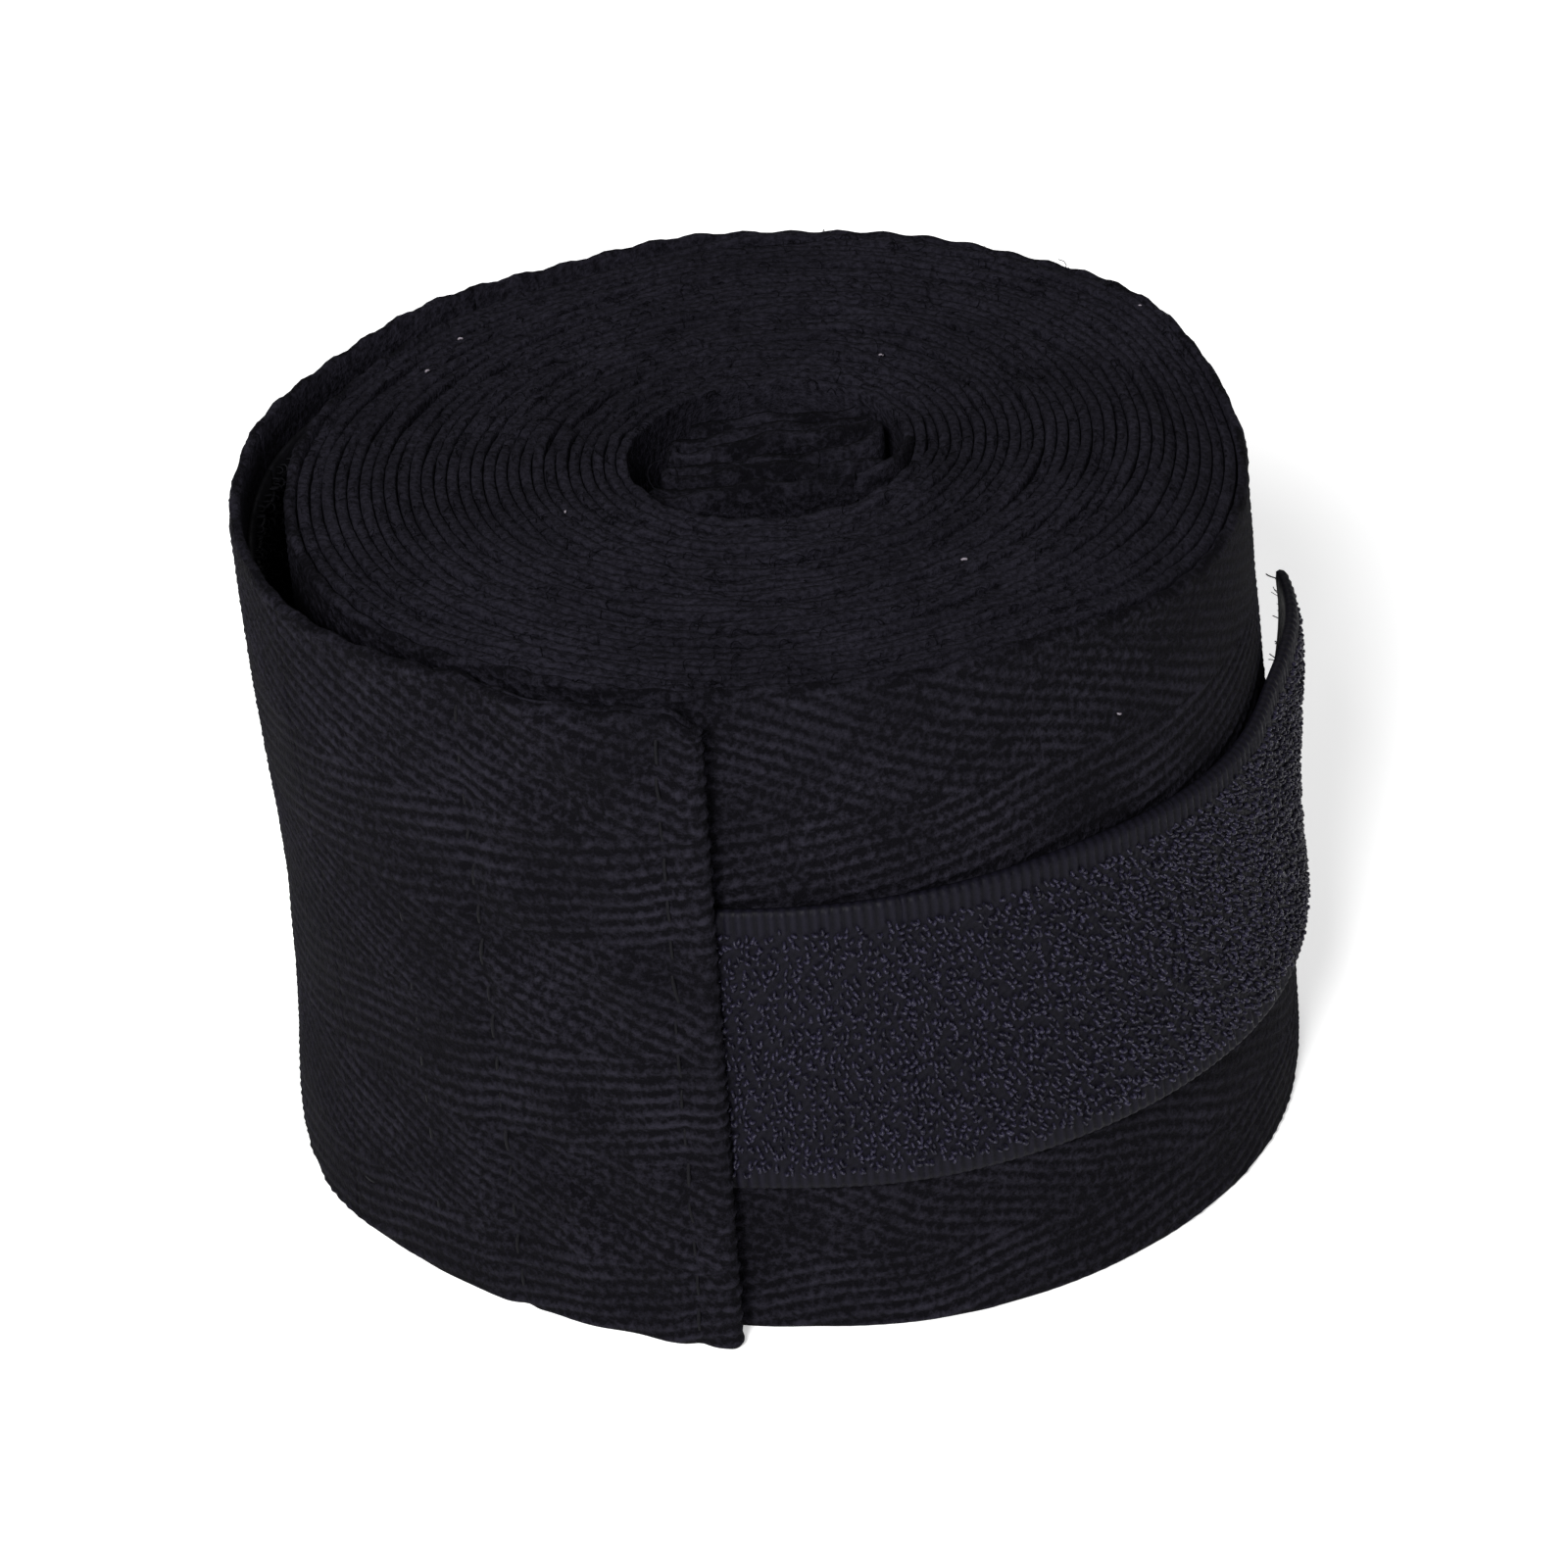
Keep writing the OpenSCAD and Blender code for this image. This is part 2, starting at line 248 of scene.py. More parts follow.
def ripple(along, up, seed, size):
    """Soft random waves between about -1 and 1, with bumps of that size."""
    rng = np.random.default_rng(seed)
    total = 0
    for _ in range(RIPPLE_WAVES):
        turn = rng.uniform(0, math.pi)
        wave = size * rng.uniform(0.7, 1.8)
        shift = rng.uniform(0, TAU)
        total = total + np.sin((along * math.cos(turn) + up * math.sin(turn)) * TAU / wave + shift)
    return total / RIPPLE_SUM


def settle(points):
    """The way that the whole roll has sagged and shifted, applied to every piece alike.

    The turns spread a little towards the floor on both sides, the rear is narrower than a circle,
    and at the front right the outer turns have slipped down.
    """
    points = np.asarray(points, float)
    x, y, z = points[..., 0], points[..., 1], points[..., 2]
    radius = np.hypot(x, y) + 1e-9
    angle = np.degrees(np.arctan2(y, x)) % 360
    core = sizes().core_radius
    share = np.clip((radius - core) / (outer_radius() - core), 0, 1.3)
    up = np.clip(z / WIDTH, -0.1, 1.1)
    low = smooth(1 - up) ** 1.2
    side = np.abs(np.cos(np.radians(angle)))
    spread = SIDE_SPREAD * low * side ** 1.5 + ROUND_SPREAD * low
    belly = BELLY * np.sin(math.pi * np.clip(up, 0, 1))
    upper = smooth((up - 0.25) / 0.6)
    swell = 0
    for part, swells in ((upper, UPPER_SWELLS), (low, LOWER_SWELLS)):
        for size, stretch in swells:
            swell = swell + size * MM * window(angle, *stretch) * part
    wide = radius + (spread + belly + swell) * share ** 1.6
    slip_angle = (angle + 60) % 360
    slip = window(slip_angle, -2, 42, 62, 34) * smooth((share - 0.62) / 0.36)
    drop = SLIP_DROP * slip * np.clip(up, 0, 1.1) ** 2
    return np.stack([wide * x / radius, wide * y / radius, z - drop], -1)


# Mesh making


def new_piece(name, points, faces, material, uv=None, relief=None, flat=0, warp=True):
    """A mesh object at the origin. The last flat faces are shaded flat, the others smooth."""
    points = np.asarray(points, float)
    if warp:
        points = settle(points)
    mesh = bpy.data.meshes.new(name)
    mesh.from_pydata(points, [], faces)
    shading = np.ones(len(mesh.polygons), bool)
    if flat:
        shading[-flat:] = False
    mesh.polygons.foreach_set("use_smooth", shading)
    if uv is not None:
        corner = np.empty(len(mesh.loops), np.int32)
        mesh.loops.foreach_get("vertex_index", corner)
        layer = mesh.uv_layers.new(name="Weave")
        layer.data.foreach_set("uv", np.asarray(uv, np.float32)[corner].ravel())
    if relief is not None:
        attribute = mesh.attributes.new("relief", "FLOAT", "POINT")
        attribute.data.foreach_set("value", np.asarray(relief, np.float32).ravel())
    mesh.materials.append(material)
    mesh.validate()
    mesh.update()
    thing = bpy.data.objects.new(name, mesh)
    bpy.context.scene.collection.objects.link(thing)
    return thing


def ladder(left, right, left_up, right_up):
    """Triangles between two rows of vertices that both climb in up."""
    faces, i, j = [], 0, 0
    while i < len(left) - 1 or j < len(right) - 1:
        step_left = j == len(right) - 1 or (i < len(left) - 1 and left_up[i + 1] <= right_up[j + 1])
        if step_left:
            faces.append((left[i], right[j], left[i + 1]))
            i += 1
        else:
            faces.append((left[i], right[j], right[j + 1]))
            j += 1
    return faces


def strip_piece(name, place, along, bottom, top, thickness, material, weave=None, step=0.2 * MM,
                edge_wave=None):
    """A closed strip of cloth.

    place(i, offset, up) gives the points at along[i], that far off the strip's middle surface.
    weave(along, up) gives the outer face's relief from 0 to 1 and its height in metres.
    """
    count = max(8, int(round((top - bottom) / step)))
    fine = np.linspace(bottom, top, count + 1)[1:-1]
    coarse = np.linspace(bottom, top, 27)[1:-1]
    tuck = 0.18 * thickness
    outer_up = np.concatenate([[bottom, bottom + tuck], fine[1:-1], [top - tuck, top]])
    outer_up = np.sort(outer_up)
    inner_up = np.concatenate([[bottom + tuck], coarse, [top - tuck]])
    half = thickness / 2

    def rounding(up):
        return np.clip(np.minimum(up - bottom, top - up) / (0.5 * thickness), 0, 1)

    outer_offset = half * np.sqrt(1 - (1 - rounding(outer_up)) ** 2)
    inner_offset = -half * np.sqrt(1 - (1 - rounding(inner_up)) ** 2)
    rows, outer, inner = len(along), len(outer_up), len(inner_up)
    index = np.arange(rows)[:, None]
    column = along[:, None]
    relief_outer = height = np.zeros((rows, outer))
    if weave is not None:
        relief_outer, height = weave(column, outer_up[None, :])
    fade = rounding(outer_up)[None, :]
    outside = place(index, outer_offset[None, :] + height * fade, np.repeat(outer_up[None, :], rows, 0))
    inside = place(index, np.repeat(inner_offset[None, :], rows, 0), np.repeat(inner_up[None, :], rows, 0))
    if edge_wave is not None:
        for side, ups in ((outside, outer_up), (inside, inner_up)):
            near_top = smooth((ups - (top - 3 * MM)) / (3 * MM))[None, :]
            side[..., 2] += edge_wave(column) * near_top
    ring = outer + inner
    points = np.concatenate([outside, inside[:, ::-1]], 1).reshape(-1, 3)
    ups = np.concatenate([outer_up, inner_up[::-1]])
    uv = np.stack(np.broadcast_arrays(column / MM, ups[None, :] / MM), -1).reshape(-1, 2)
    relief = np.concatenate([relief_outer, np.full((rows, inner), 0.5)], 1).reshape(-1)
    base = np.arange(rows - 1)[:, None] * ring
    near = np.arange(ring)[None, :]
    far = (near + 1) % ring
    quads = np.stack([base + near, base + far, base + ring + far, base + ring + near], -1).reshape(-1, 4)
    outer_row = list(range(outer))
    inner_row = list(range(ring - 1, outer - 1, -1))
    start = ladder(outer_row, inner_row, outer_up, inner_up)
    end = [tuple((rows - 1) * ring + vertex for vertex in reversed(face)) for face in start]
    faces = quads.tolist() + start + end
    thing = new_piece(name, points, faces, material, uv, relief, flat=len(start) + len(end))
    face_outwards(thing)
    return thing


def face_outwards(thing):
    """Turns a closed mesh's faces round if they point inwards."""
    mesh = thing.data
    mesh.calc_loop_triangles()
    triangles = np.empty(len(mesh.loop_triangles) * 3, np.int32)
    mesh.loop_triangles.foreach_get("vertices", triangles)
    co = np.empty(len(mesh.vertices) * 3)
    mesh.vertices.foreach_get("co", co)
    co = co.reshape(-1, 3)[triangles.reshape(-1, 3)]
    volume = np.einsum("ij,ij->i", co[:, 0], np.cross(co[:, 1], co[:, 2])).sum()
    if volume < 0:
        mesh.flip_normals()


# The weave's bands, where the first one starts below the lower edge, the ribs' two slopes, and the
# length of one float
BAND = 8.6 * MM
BAND_START = 2.2 * MM
RIB_SLOPES = (math.tan(math.radians(9)), -math.tan(math.radians(22)))
FLOAT_LENGTH = 1.15 * MM


def herringbone(along, up):
    """Relief of the webbing: bands of slanting ribs that change direction from band to band."""
    rib = sizes().rib_pitch
    waver = 0.35 * MM * ripple(along, up, 11, 14 * MM)
    row = np.floor((up + BAND_START + 0.4 * waver) / BAND)
    slope = np.where(row % 2 == 0, *RIB_SLOPES)
    phase = (up - slope * along + waver) / rib
    crest = 0.5 + 0.5 * np.cos(TAU * phase)
    number = np.floor(phase + 0.5)
    floats = 0.5 + 0.5 * np.cos(TAU * (along / FLOAT_LENGTH + 0.5 * (number % 2)))
    knobbly = np.clip(0.5 + 0.5 * ripple(along, up, 8, 17 * MM), 0, 1)
    worn = 0.75 + 0.25 * ripple(along, up, 5, 9 * MM)
    relief = np.clip(crest ** 1.3 * (1 - (0.25 + 0.5 * knobbly) * (1 - floats)) * worn, 0, 1)
    return relief, sizes().rib_height * relief


def selvedge_wave(along):
    """Shallow scallops along the webbing's upper edge."""
    scallop = 0.11 * MM * np.sin(along * TAU / (3.4 * MM) + 1.5 * np.sin(along * 60))
    bead = 0.06 * MM * np.abs(np.sin(along * math.pi / (0.9 * MM)))
    sway = 0.25 * MM * np.sin(along * TAU / 0.063 + 1.0) + 0.12 * MM * np.sin(along * TAU / 0.019)
    return scallop + bead + sway


# Zones of the bending strips: first angle, last angle, bodies, hinge, and the blend's reach
TAIL_ZONES = (
    (130.0, 170.0, "roll", "tail_rear", "tail_unroll", 5 * MM, 5 * MM),
    (170.0, 209.0, "tail_rear", "tail_middle", "tail_middle_bend", 5 * MM, 5 * MM),
    (209.0, HEM_EDGE, "tail_middle", "hem", "hem_bend", 5 * MM, 2 * MM),
)


def strap_zones():
    start = HEM_EDGE - arc_angle(HEM_TURN)
    first = (STRAP_PEEL + STRAP_MIDDLE) / 2
    second = (STRAP_MIDDLE + STRAP_TIP) / 2
    return (
        (start, first, "hem", "strap_near", "strap_peel", 1.6 * MM, 5 * MM),
        (first, second, "strap_near", "strap_middle", "strap_middle_bend", 5 * MM, 5 * MM),
        (second, STRAP_END, "strap_middle", "strap_tip", "strap_tip_bend", 5 * MM, 5 * MM),
    )


def bend_zone(thing, zone):
    """Works out the ends of the zone's blend round its hinge, which are not used, and bakes the piece's
    transform into its mesh.
    """
    _, _, first, second, hinge, before, after = zone
    centre = hinge_point(hinge)
    angle = math.radians(hinge_angle(hinge))
    tangent = np.array([-math.sin(angle), math.cos(angle)])
    start, end = centre - before * tangent, centre + after * tangent
    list(start)
    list(end)
    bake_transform(thing)


def polar(radius, degrees, up):
    """Points at that radius, angle and height."""
    angle = np.radians(degrees)
    return np.stack(np.broadcast_arrays(radius * np.cos(angle), radius * np.sin(angle), up), -1)


def loose_lift(angle, up):
    """How far the last turn stands off the roll: its lift to the hem, and the flare at its left."""
    lift = hem_lift() * smooth((angle - LIFT_START) / LIFT_SPAN)
    flare = window(angle, *LEFT_FLARE)
    high = smooth((up / WIDTH - 0.42) / 0.5)
    low = smooth((0.22 - up / WIDTH) / 0.22)
    return lift + flare * (0.9 * MM * high + 0.5 * MM * low)


def loose_raise(angle, up):
    """How far the last turn's upper edge stands above the roll at its left."""
    share = np.clip(up / WIDTH, 0, 1) ** 2
    return 0.35 * MM * window(angle, 100, 50, 205, 50) * share


# Folds pressed into the hem, in millimetres: each one's start and end, as the distance back from
# the hem's edge and the height, then its depth and its width
CREASES = (
    ((14.0, 15.6), (6.2, 8.2), 0.22, 0.5),
    ((13.2, 11.6), (10.0, 7.4), 0.17, 0.45),
    ((17.5, 13.5), (15.6, 17.4), 0.18, 0.7),
)


def creases(back, up):
    """Depth of the folds pressed into the hem, with back counted from the hem's edge."""
    depth = 0.0
    for first, last, deep, width in CREASES:
        start, end = np.array(first) * MM, np.array(last) * MM
        run = end - start
        share = ((back - start[0]) * run[0] + (up - start[1]) * run[1]) / (run @ run)
        share = np.clip(share, 0, 1)
        gap = np.hypot(back - start[0] - share * run[0], up - start[1] - share * run[1])
        depth = depth - deep * MM * np.exp(-((gap / (width * MM)) ** 2))
        depth = depth + 0.5 * deep * MM * np.exp(-(((gap - 1.2 * width * MM) / (width * MM)) ** 2))
    return depth


# Geometry Nodes


class Tree:
    """A Geometry Nodes tree with named inputs, built node by node."""

    def __init__(self, name):
        self.group = bpy.data.node_groups.new(name, "GeometryNodeTree")
        self.group.interface.new_socket("Geometry", in_out="INPUT", socket_type="NodeSocketGeometry")
        self.group.interface.new_socket("Geometry", in_out="OUTPUT", socket_type="NodeSocketGeometry")
        self.entry = self.group.nodes.new("NodeGroupInput")
        self.exit = self.group.nodes.new("NodeGroupOutput")
        self.values = {}
        self.identifiers = {}

    def add_input(self, name, kind, value):
        socket = self.group.interface.new_socket(name, in_out="INPUT", socket_type=kind)
        self.identifiers[name] = socket.identifier
        self.values[name] = value
        return self.entry.outputs[name]

    def set_inputs(self, chosen):
        unknown = set(chosen) - set(self.values)
        if unknown:
            raise RuntimeError(f"{self.group.name} has no input named {unknown}")
        self.values.update(chosen)

    def node(self, kind, inputs=(), **settings):
        node = self.group.nodes.new(kind)
        for key, value in settings.items():
            setattr(node, key, value)
        for key, value in dict(inputs).items():
            socket = node.inputs[key]
            if isinstance(value, bpy.types.NodeSocket):
                self.group.links.new(value, socket)
            else:
                socket.default_value = value
        return node

    def math(self, operation, *values):
        node = self.node("ShaderNodeMath", operation=operation)
        for socket, value in zip(node.inputs, values):
            if isinstance(value, bpy.types.NodeSocket):
                self.group.links.new(value, socket)
            else:
                socket.default_value = value
        return node.outputs[0]

    def finish(self, geometry, material):
        """Ends the tree in Realize Instances and Set Material."""
        real = self.node("GeometryNodeRealizeInstances", {"Geometry": geometry})
        painted = self.node("GeometryNodeSetMaterial", {"Geometry": real.outputs[0]})
        painted.inputs["Material"].default_value = material
        self.group.links.new(painted.outputs[0], self.exit.inputs[0])

    def apply(self, name, base_mesh, material, warp=True):
        """Runs the tree on a mesh and returns the result as a plain piece at the origin."""
        carrier = bpy.data.objects.new(name + "_base", base_mesh)
        bpy.context.scene.collection.objects.link(carrier)
        modifier = carrier.modifiers.new("Build", "NODES")
        modifier.node_group = self.group
        for key, value in self.values.items():
            modifier[self.identifiers[key]] = value
        bpy.context.view_layer.update()
        evaluated = carrier.evaluated_get(bpy.context.evaluated_depsgraph_get())
        mesh = bpy.data.meshes.new_from_object(evaluated)
        bpy.data.objects.remove(carrier)
        mesh.name = name
        if not len(mesh.polygons):
            raise RuntimeError(f"{name}: its Geometry Nodes tree made nothing")
        mesh.materials.clear()
        mesh.materials.append(material)
        if warp:
            co = np.empty(len(mesh.vertices) * 3)
            mesh.vertices.foreach_get("co", co)
            mesh.vertices.foreach_set("co", settle(co.reshape(-1, 3)).ravel())
        mesh.update()
        thing = bpy.data.objects.new(name, mesh)
        bpy.context.scene.collection.objects.link(thing)
        return thing


def points_mesh(name, points, **vectors):
    """A mesh of loose points with vector attributes, for a tree to put shapes on."""
    mesh = bpy.data.meshes.new(name)
    mesh.from_pydata(np.asarray(points, float), [], [])
    for key, values in vectors.items():
        attribute = mesh.attributes.new(key, "FLOAT_VECTOR", "POINT")
        attribute.data.foreach_set("vector", np.asarray(values, np.float32).ravel())
    return mesh


def winding_tree(material):
    """A wound webbing strip: a line bent into turns and swept flat with the webbing's cross-section.

    The upper edge is raised only after the sweep, because sweeping an uneven line would shear it.
    """
    tree = Tree("Wound webbing")
    start = tree.add_input("Start angle", "NodeSocketFloat", 0.0)
    step = tree.add_input("Angle step", "NodeSocketFloat", 0.01)
    count = tree.add_input("Steps", "NodeSocketInt", 100)
    inner = tree.add_input("Radius at angle zero", "NodeSocketFloat", 0.01)
    growth = tree.add_input("Growth each turn", "NodeSocketFloat", 0.001)
    jitter = tree.add_input("Unevenness", "NodeSocketFloat", 0.0003)
    outline = tree.add_input("Outline", "NodeSocketObject", None)
    relief_share = tree.add_input("Relief share", "NodeSocketFloat", 0.6)

    def unevenness(where, detail, size):
        """One layer of the upper edge's rise, as a soft noise on either side of zero."""
        noise = tree.node("ShaderNodeTexNoise", {"W": where, "Detail": detail}, noise_dimensions="1D")
        return tree.math("MULTIPLY", tree.math("SUBTRACT", noise.outputs[0], 0.5), size)

    line = tree.node("GeometryNodeMeshLine", {"Count": count})
    index = tree.node("GeometryNodeInputIndex").outputs[0]
    angle = tree.math("ADD", start, tree.math("MULTIPLY", index, step))
    radius = tree.math("ADD", inner, tree.math("MULTIPLY", growth, tree.math("DIVIDE", angle, TAU)))
    place = tree.node("ShaderNodeCombineXYZ", {
        "X": tree.math("MULTIPLY", radius, tree.math("COSINE", angle)),
        "Y": tree.math("MULTIPLY", radius, tree.math("SINE", angle)),
    })
    bent = tree.node("GeometryNodeSetPosition", {
        "Geometry": line.outputs[0], "Position": place.outputs[0]})
    slow = unevenness(tree.math("MULTIPLY", angle, 0.42), 1.0, 3.4)
    quick = unevenness(tree.math("MULTIPLY", tree.math("MULTIPLY", angle, radius), 900.0), 2.0, 1.5)
    by_turn = unevenness(tree.math("DIVIDE", angle, 0.8 * TAU), 2.0, 2.2)
    rise = tree.math("ADD", tree.math("ADD", slow, quick), by_turn)
    marked = tree.node("GeometryNodeStoreNamedAttribute", {
        "Geometry": bent.outputs[0], "Name": "rise", "Value": tree.math("MULTIPLY", rise, jitter)})
    curve = tree.node("GeometryNodeMeshToCurve", {"Mesh": marked.outputs[0]})
    upright = tree.node("GeometryNodeSetCurveNormal", {"Curve": curve.outputs[0]}, mode="Z_UP")
    section = tree.node("GeometryNodeObjectInfo", {"Object": outline})
    swept = tree.node("GeometryNodeCurveToMesh", {
        "Curve": upright.outputs[0],
        "Profile Curve": section.outputs["Geometry"],
        "Fill Caps": True,
    })
    lift = tree.node("GeometryNodeInputNamedAttribute", {"Name": "rise"}, data_type="FLOAT")
    position = tree.node("GeometryNodeInputPosition")
    where = tree.node("ShaderNodeSeparateXYZ", {"Vector": position.outputs[0]})
    share = tree.math("DIVIDE", where.outputs["Z"], WIDTH)
    offset = tree.node("ShaderNodeCombineXYZ", {
        "Z": tree.math("MULTIPLY", lift.outputs[0], tree.math("MULTIPLY", share, share))})
    uneven = tree.node("GeometryNodeSetPosition", {
        "Geometry": swept.outputs[0], "Offset": offset.outputs[0]})
    # One even relief for the wound turns: it sets their colour part way from the painted valley shade
    # towards the rib colour
    worn = tree.node("GeometryNodeStoreNamedAttribute", {
        "Geometry": uneven.outputs[0], "Name": "relief", "Value": relief_share})
    tree.finish(worn.outputs[0], material)
    return tree


def edge_outline(name):
    """The webbing's closed cross-section, rounded at both selvedges, with its height along -Y."""
    half = sizes().thickness / 2
    levels = np.array([0, 0.05, 0.16, 0.35, 1.0, 3.5, 11, 25]) * MM
    levels = np.concatenate([levels, WIDTH - levels[-2::-1]])
    near_edge = np.clip(np.minimum(levels, WIDTH - levels) / (0.35 * MM), 0, 1)
    side = half * (0.55 + 0.49 * np.sqrt(1 - (1 - near_edge) ** 2))
    right = list(zip(side, levels))
    left = list(zip(-side[-2:0:-1], levels[-2:0:-1]))
    curve = bpy.data.curves.new(name, "CURVE")
    curve.dimensions = "2D"
    spline = curve.splines.new("POLY")
    outline = [(0.0, 0.0), *right[1:-1], (0.0, WIDTH), *left]
    spline.points.add(len(outline) - 1)
    for point, (x, y) in zip(spline.points, outline):
        point.co = (x, -y, 0, 1)
    spline.use_cyclic_u = True
    thing = bpy.data.objects.new(name, curve)
    bpy.context.scene.collection.objects.link(thing)
    return thing


def scatter_tree(name, shape, material):
    """Puts one small shape on each point: its X along the point's aim, its Z along the point's out."""
    tree = Tree(name)
    low = tree.add_input("Smallest scale", "NodeSocketFloat", 0.88)
    high = tree.add_input("Largest scale", "NodeSocketFloat", 1.12)
    seed = tree.add_input("Seed", "NodeSocketInt", 7)
    out = tree.node("GeometryNodeInputNamedAttribute", {"Name": "out"}, data_type="FLOAT_VECTOR")
    aim = tree.node("GeometryNodeInputNamedAttribute", {"Name": "aim"}, data_type="FLOAT_VECTOR")
    stand = tree.node("FunctionNodeAlignRotationToVector", {"Vector": out.outputs[0]}, axis="Z")
    turn = tree.node(
        "FunctionNodeAlignRotationToVector",
        {"Rotation": stand.outputs[0], "Vector": aim.outputs[0]},
        axis="X", pivot_axis="Z")
    scale = tree.node("FunctionNodeRandomValue", data_type="FLOAT")
    tree.group.links.new(low, scale.inputs[2])
    tree.group.links.new(high, scale.inputs[3])
    tree.group.links.new(seed, scale.inputs["Seed"])
    spread = tree.node("GeometryNodeInstanceOnPoints", {
        "Points": tree.entry.outputs["Geometry"],
        "Instance": shape(tree),
        "Rotation": turn.outputs[0],
        "Scale": scale.outputs[1],
    })
    tree.finish(spread.outputs[0], material)
    return tree


def swept_shape(start, first, second, end, radius, sides, steps):
    """A thread bent along a cubic curve, for scatter_tree."""
    def shape(tree):
        path = tree.node("GeometryNodeCurvePrimitiveBezierSegment", {
            "Resolution": steps, "Start": start, "Start Handle": first,
            "End Handle": second, "End": end})
        ring = tree.node("GeometryNodeCurvePrimitiveCircle", {
            "Resolution": sides, "Radius": tree.add_input("Thread radius", "NodeSocketFloat", radius)})
        tube = tree.node("GeometryNodeCurveToMesh", {
            "Curve": path.outputs[0], "Profile Curve": ring.outputs[0], "Fill Caps": True})
        soft = tree.node("GeometryNodeSetShadeSmooth", {"Geometry": tube.outputs[0]})
        return soft.outputs[0]
    return shape


def scatter(name, shape, material, points, out, aim, scales=()):
    """Puts a shape on every point, facing out and turned to aim, and returns them as one piece."""
    tree = scatter_tree(name + "_shapes", shape, material)
    tree.set_inputs(dict(zip(("Smallest scale", "Largest scale"), scales)))
    return tree.apply(name, points_mesh(name + "_points", points, out=out, aim=aim), material)


# Materials


class Paint:
    """A material built node by node around one Principled shader."""

    def __init__(self, name, **constants):
        self.material = bpy.data.materials.new(name)
        self.material.use_nodes = True
        self.tree = self.material.node_tree
        self.shader = self.tree.nodes["Principled BSDF"]
        for key, value in constants.items():
            self.shader.inputs[key.replace("_", " ")].default_value = value
        self.spot = self.node("ShaderNodeTexCoord").outputs["Object"]

    def node(self, kind, inputs=(), **settings):
        node = self.tree.nodes.new(kind)
        for key, value in settings.items():
            setattr(node, key, value)
        for key, value in dict(inputs).items():
            self.put(value, node.inputs[key])
        return node

    def put(self, value, socket):
        if isinstance(value, bpy.types.NodeSocket):
            self.tree.links.new(value, socket)
        else:
            socket.default_value = value

    def noise(self, scale, detail=2.0, roughness=0.5, vector=None):
        return self.node("ShaderNodeTexNoise", {
            "Vector": vector or self.spot, "Scale": scale, "Detail": detail,
            "Roughness": roughness}).outputs["Fac"]

    def math(self, operation, *values, clamp=False):
        node = self.node("ShaderNodeMath", operation=operation, use_clamp=clamp)
        for value, socket in zip(values, node.inputs):
            self.put(value, socket)
        return node.outputs[0]

    def spread(self, value, low, high, to_low=0.0, to_high=1.0):
        return self.node("ShaderNodeMapRange", {
            "Value": value, "From Min": low, "From Max": high, "To Min": to_low,
            "To Max": to_high}).outputs[0]

    def mix(self, share, first, second):
        node = self.node("ShaderNodeMix", data_type="RGBA")
        for value, socket in ((share, node.inputs[0]), (first, node.inputs[6]), (second, node.inputs[7])):
            if not isinstance(value, bpy.types.NodeSocket) and socket != node.inputs[0]:
                value = (*value, 1.0)
            self.put(value, socket)
        return node.outputs[2]

    def bump(self, height, distance, strength=1.0, under=None):
        node = self.node("ShaderNodeBump", {"Height": height, "Distance": distance, "Strength": strength})
        if under:
            self.put(under, node.inputs["Normal"])
        return node.outputs[0]

    def finish(self, colour, roughness, normal):
        self.put(colour, self.shader.inputs["Base Color"])
        self.put(roughness, self.shader.inputs["Roughness"])
        self.put(normal, self.shader.inputs["Normal"])
        return self.material


def once(build):
    """Returns a material by its maker, made the first time that it is asked for."""
    def get():
        found = bpy.data.materials.get(build.__name__)
        return found or build(build.__name__)
    return get


@once
def webbing_cotton(name):
    """Herringbone cotton: yarn crests over valleys painted darker as shade, with a soft fuzz."""
    paint = Paint(name, IOR=1.45, Specular_IOR_Level=0.05)
    relief = paint.node("ShaderNodeAttribute", attribute_name="relief").outputs["Fac"]
    weave = paint.node("ShaderNodeUVMap", uv_map="Weave").outputs[0]
    yarn = paint.noise(1.9, 2.0, 0.6, weave)
    fuzz = paint.noise(2300.0, 3.0, 0.65)
    patches = paint.noise(150.0, 2.0, 0.5)
    grain = paint.spread(fuzz, 0.34, 0.66, -0.5, 0.5)
    height = paint.math("ADD", relief, paint.math("MULTIPLY", grain, 0.9))
    share = paint.math("MULTIPLY", height, paint.spread(patches, 0.3, 0.7, 0.7, 1.15), clamp=True)
    # Painted shade: the lower the relief, between the ribs, the nearer the colour goes to cotton_shade; the
    # fuzz and the patches vary it at random
    colour = paint.mix(share, colours().cotton_shade, colours().cotton)
    normal = paint.bump(yarn, 0.10 * MM, 0.8)
    normal = paint.bump(fuzz, 0.30 * MM, 1.0, normal)
    return paint.finish(colour, paint.spread(fuzz, 0.3, 0.7, 0.85, 0.98), normal)


@once
def strap_weave(name):
    """Woven polyamide ground of the hook strap."""
    paint = Paint(name, IOR=1.5, Specular_IOR_Level=0.08)
    relief = paint.node("ShaderNodeAttribute", attribute_name="relief").outputs["Fac"]
    fine = paint.noise(3800.0, 1.0, 0.5)
    woven = paint.math("MULTIPLY", relief, 0.8)
    share = paint.math("ADD", woven, paint.math("MULTIPLY", fine, 0.35), clamp=True)
    # Painted shade: where the relief is low, in the gaps between the ribs and in the plain weave, the
    # ground is painted darker
    shade = [0.22 * c for c in colours().strap]
    normal = paint.bump(fine, 0.06 * MM, 0.6)
    colour = paint.mix(share, shade, colours().strap)
    return paint.finish(colour, paint.spread(fine, 0.3, 0.7, 0.5, 0.7), normal)


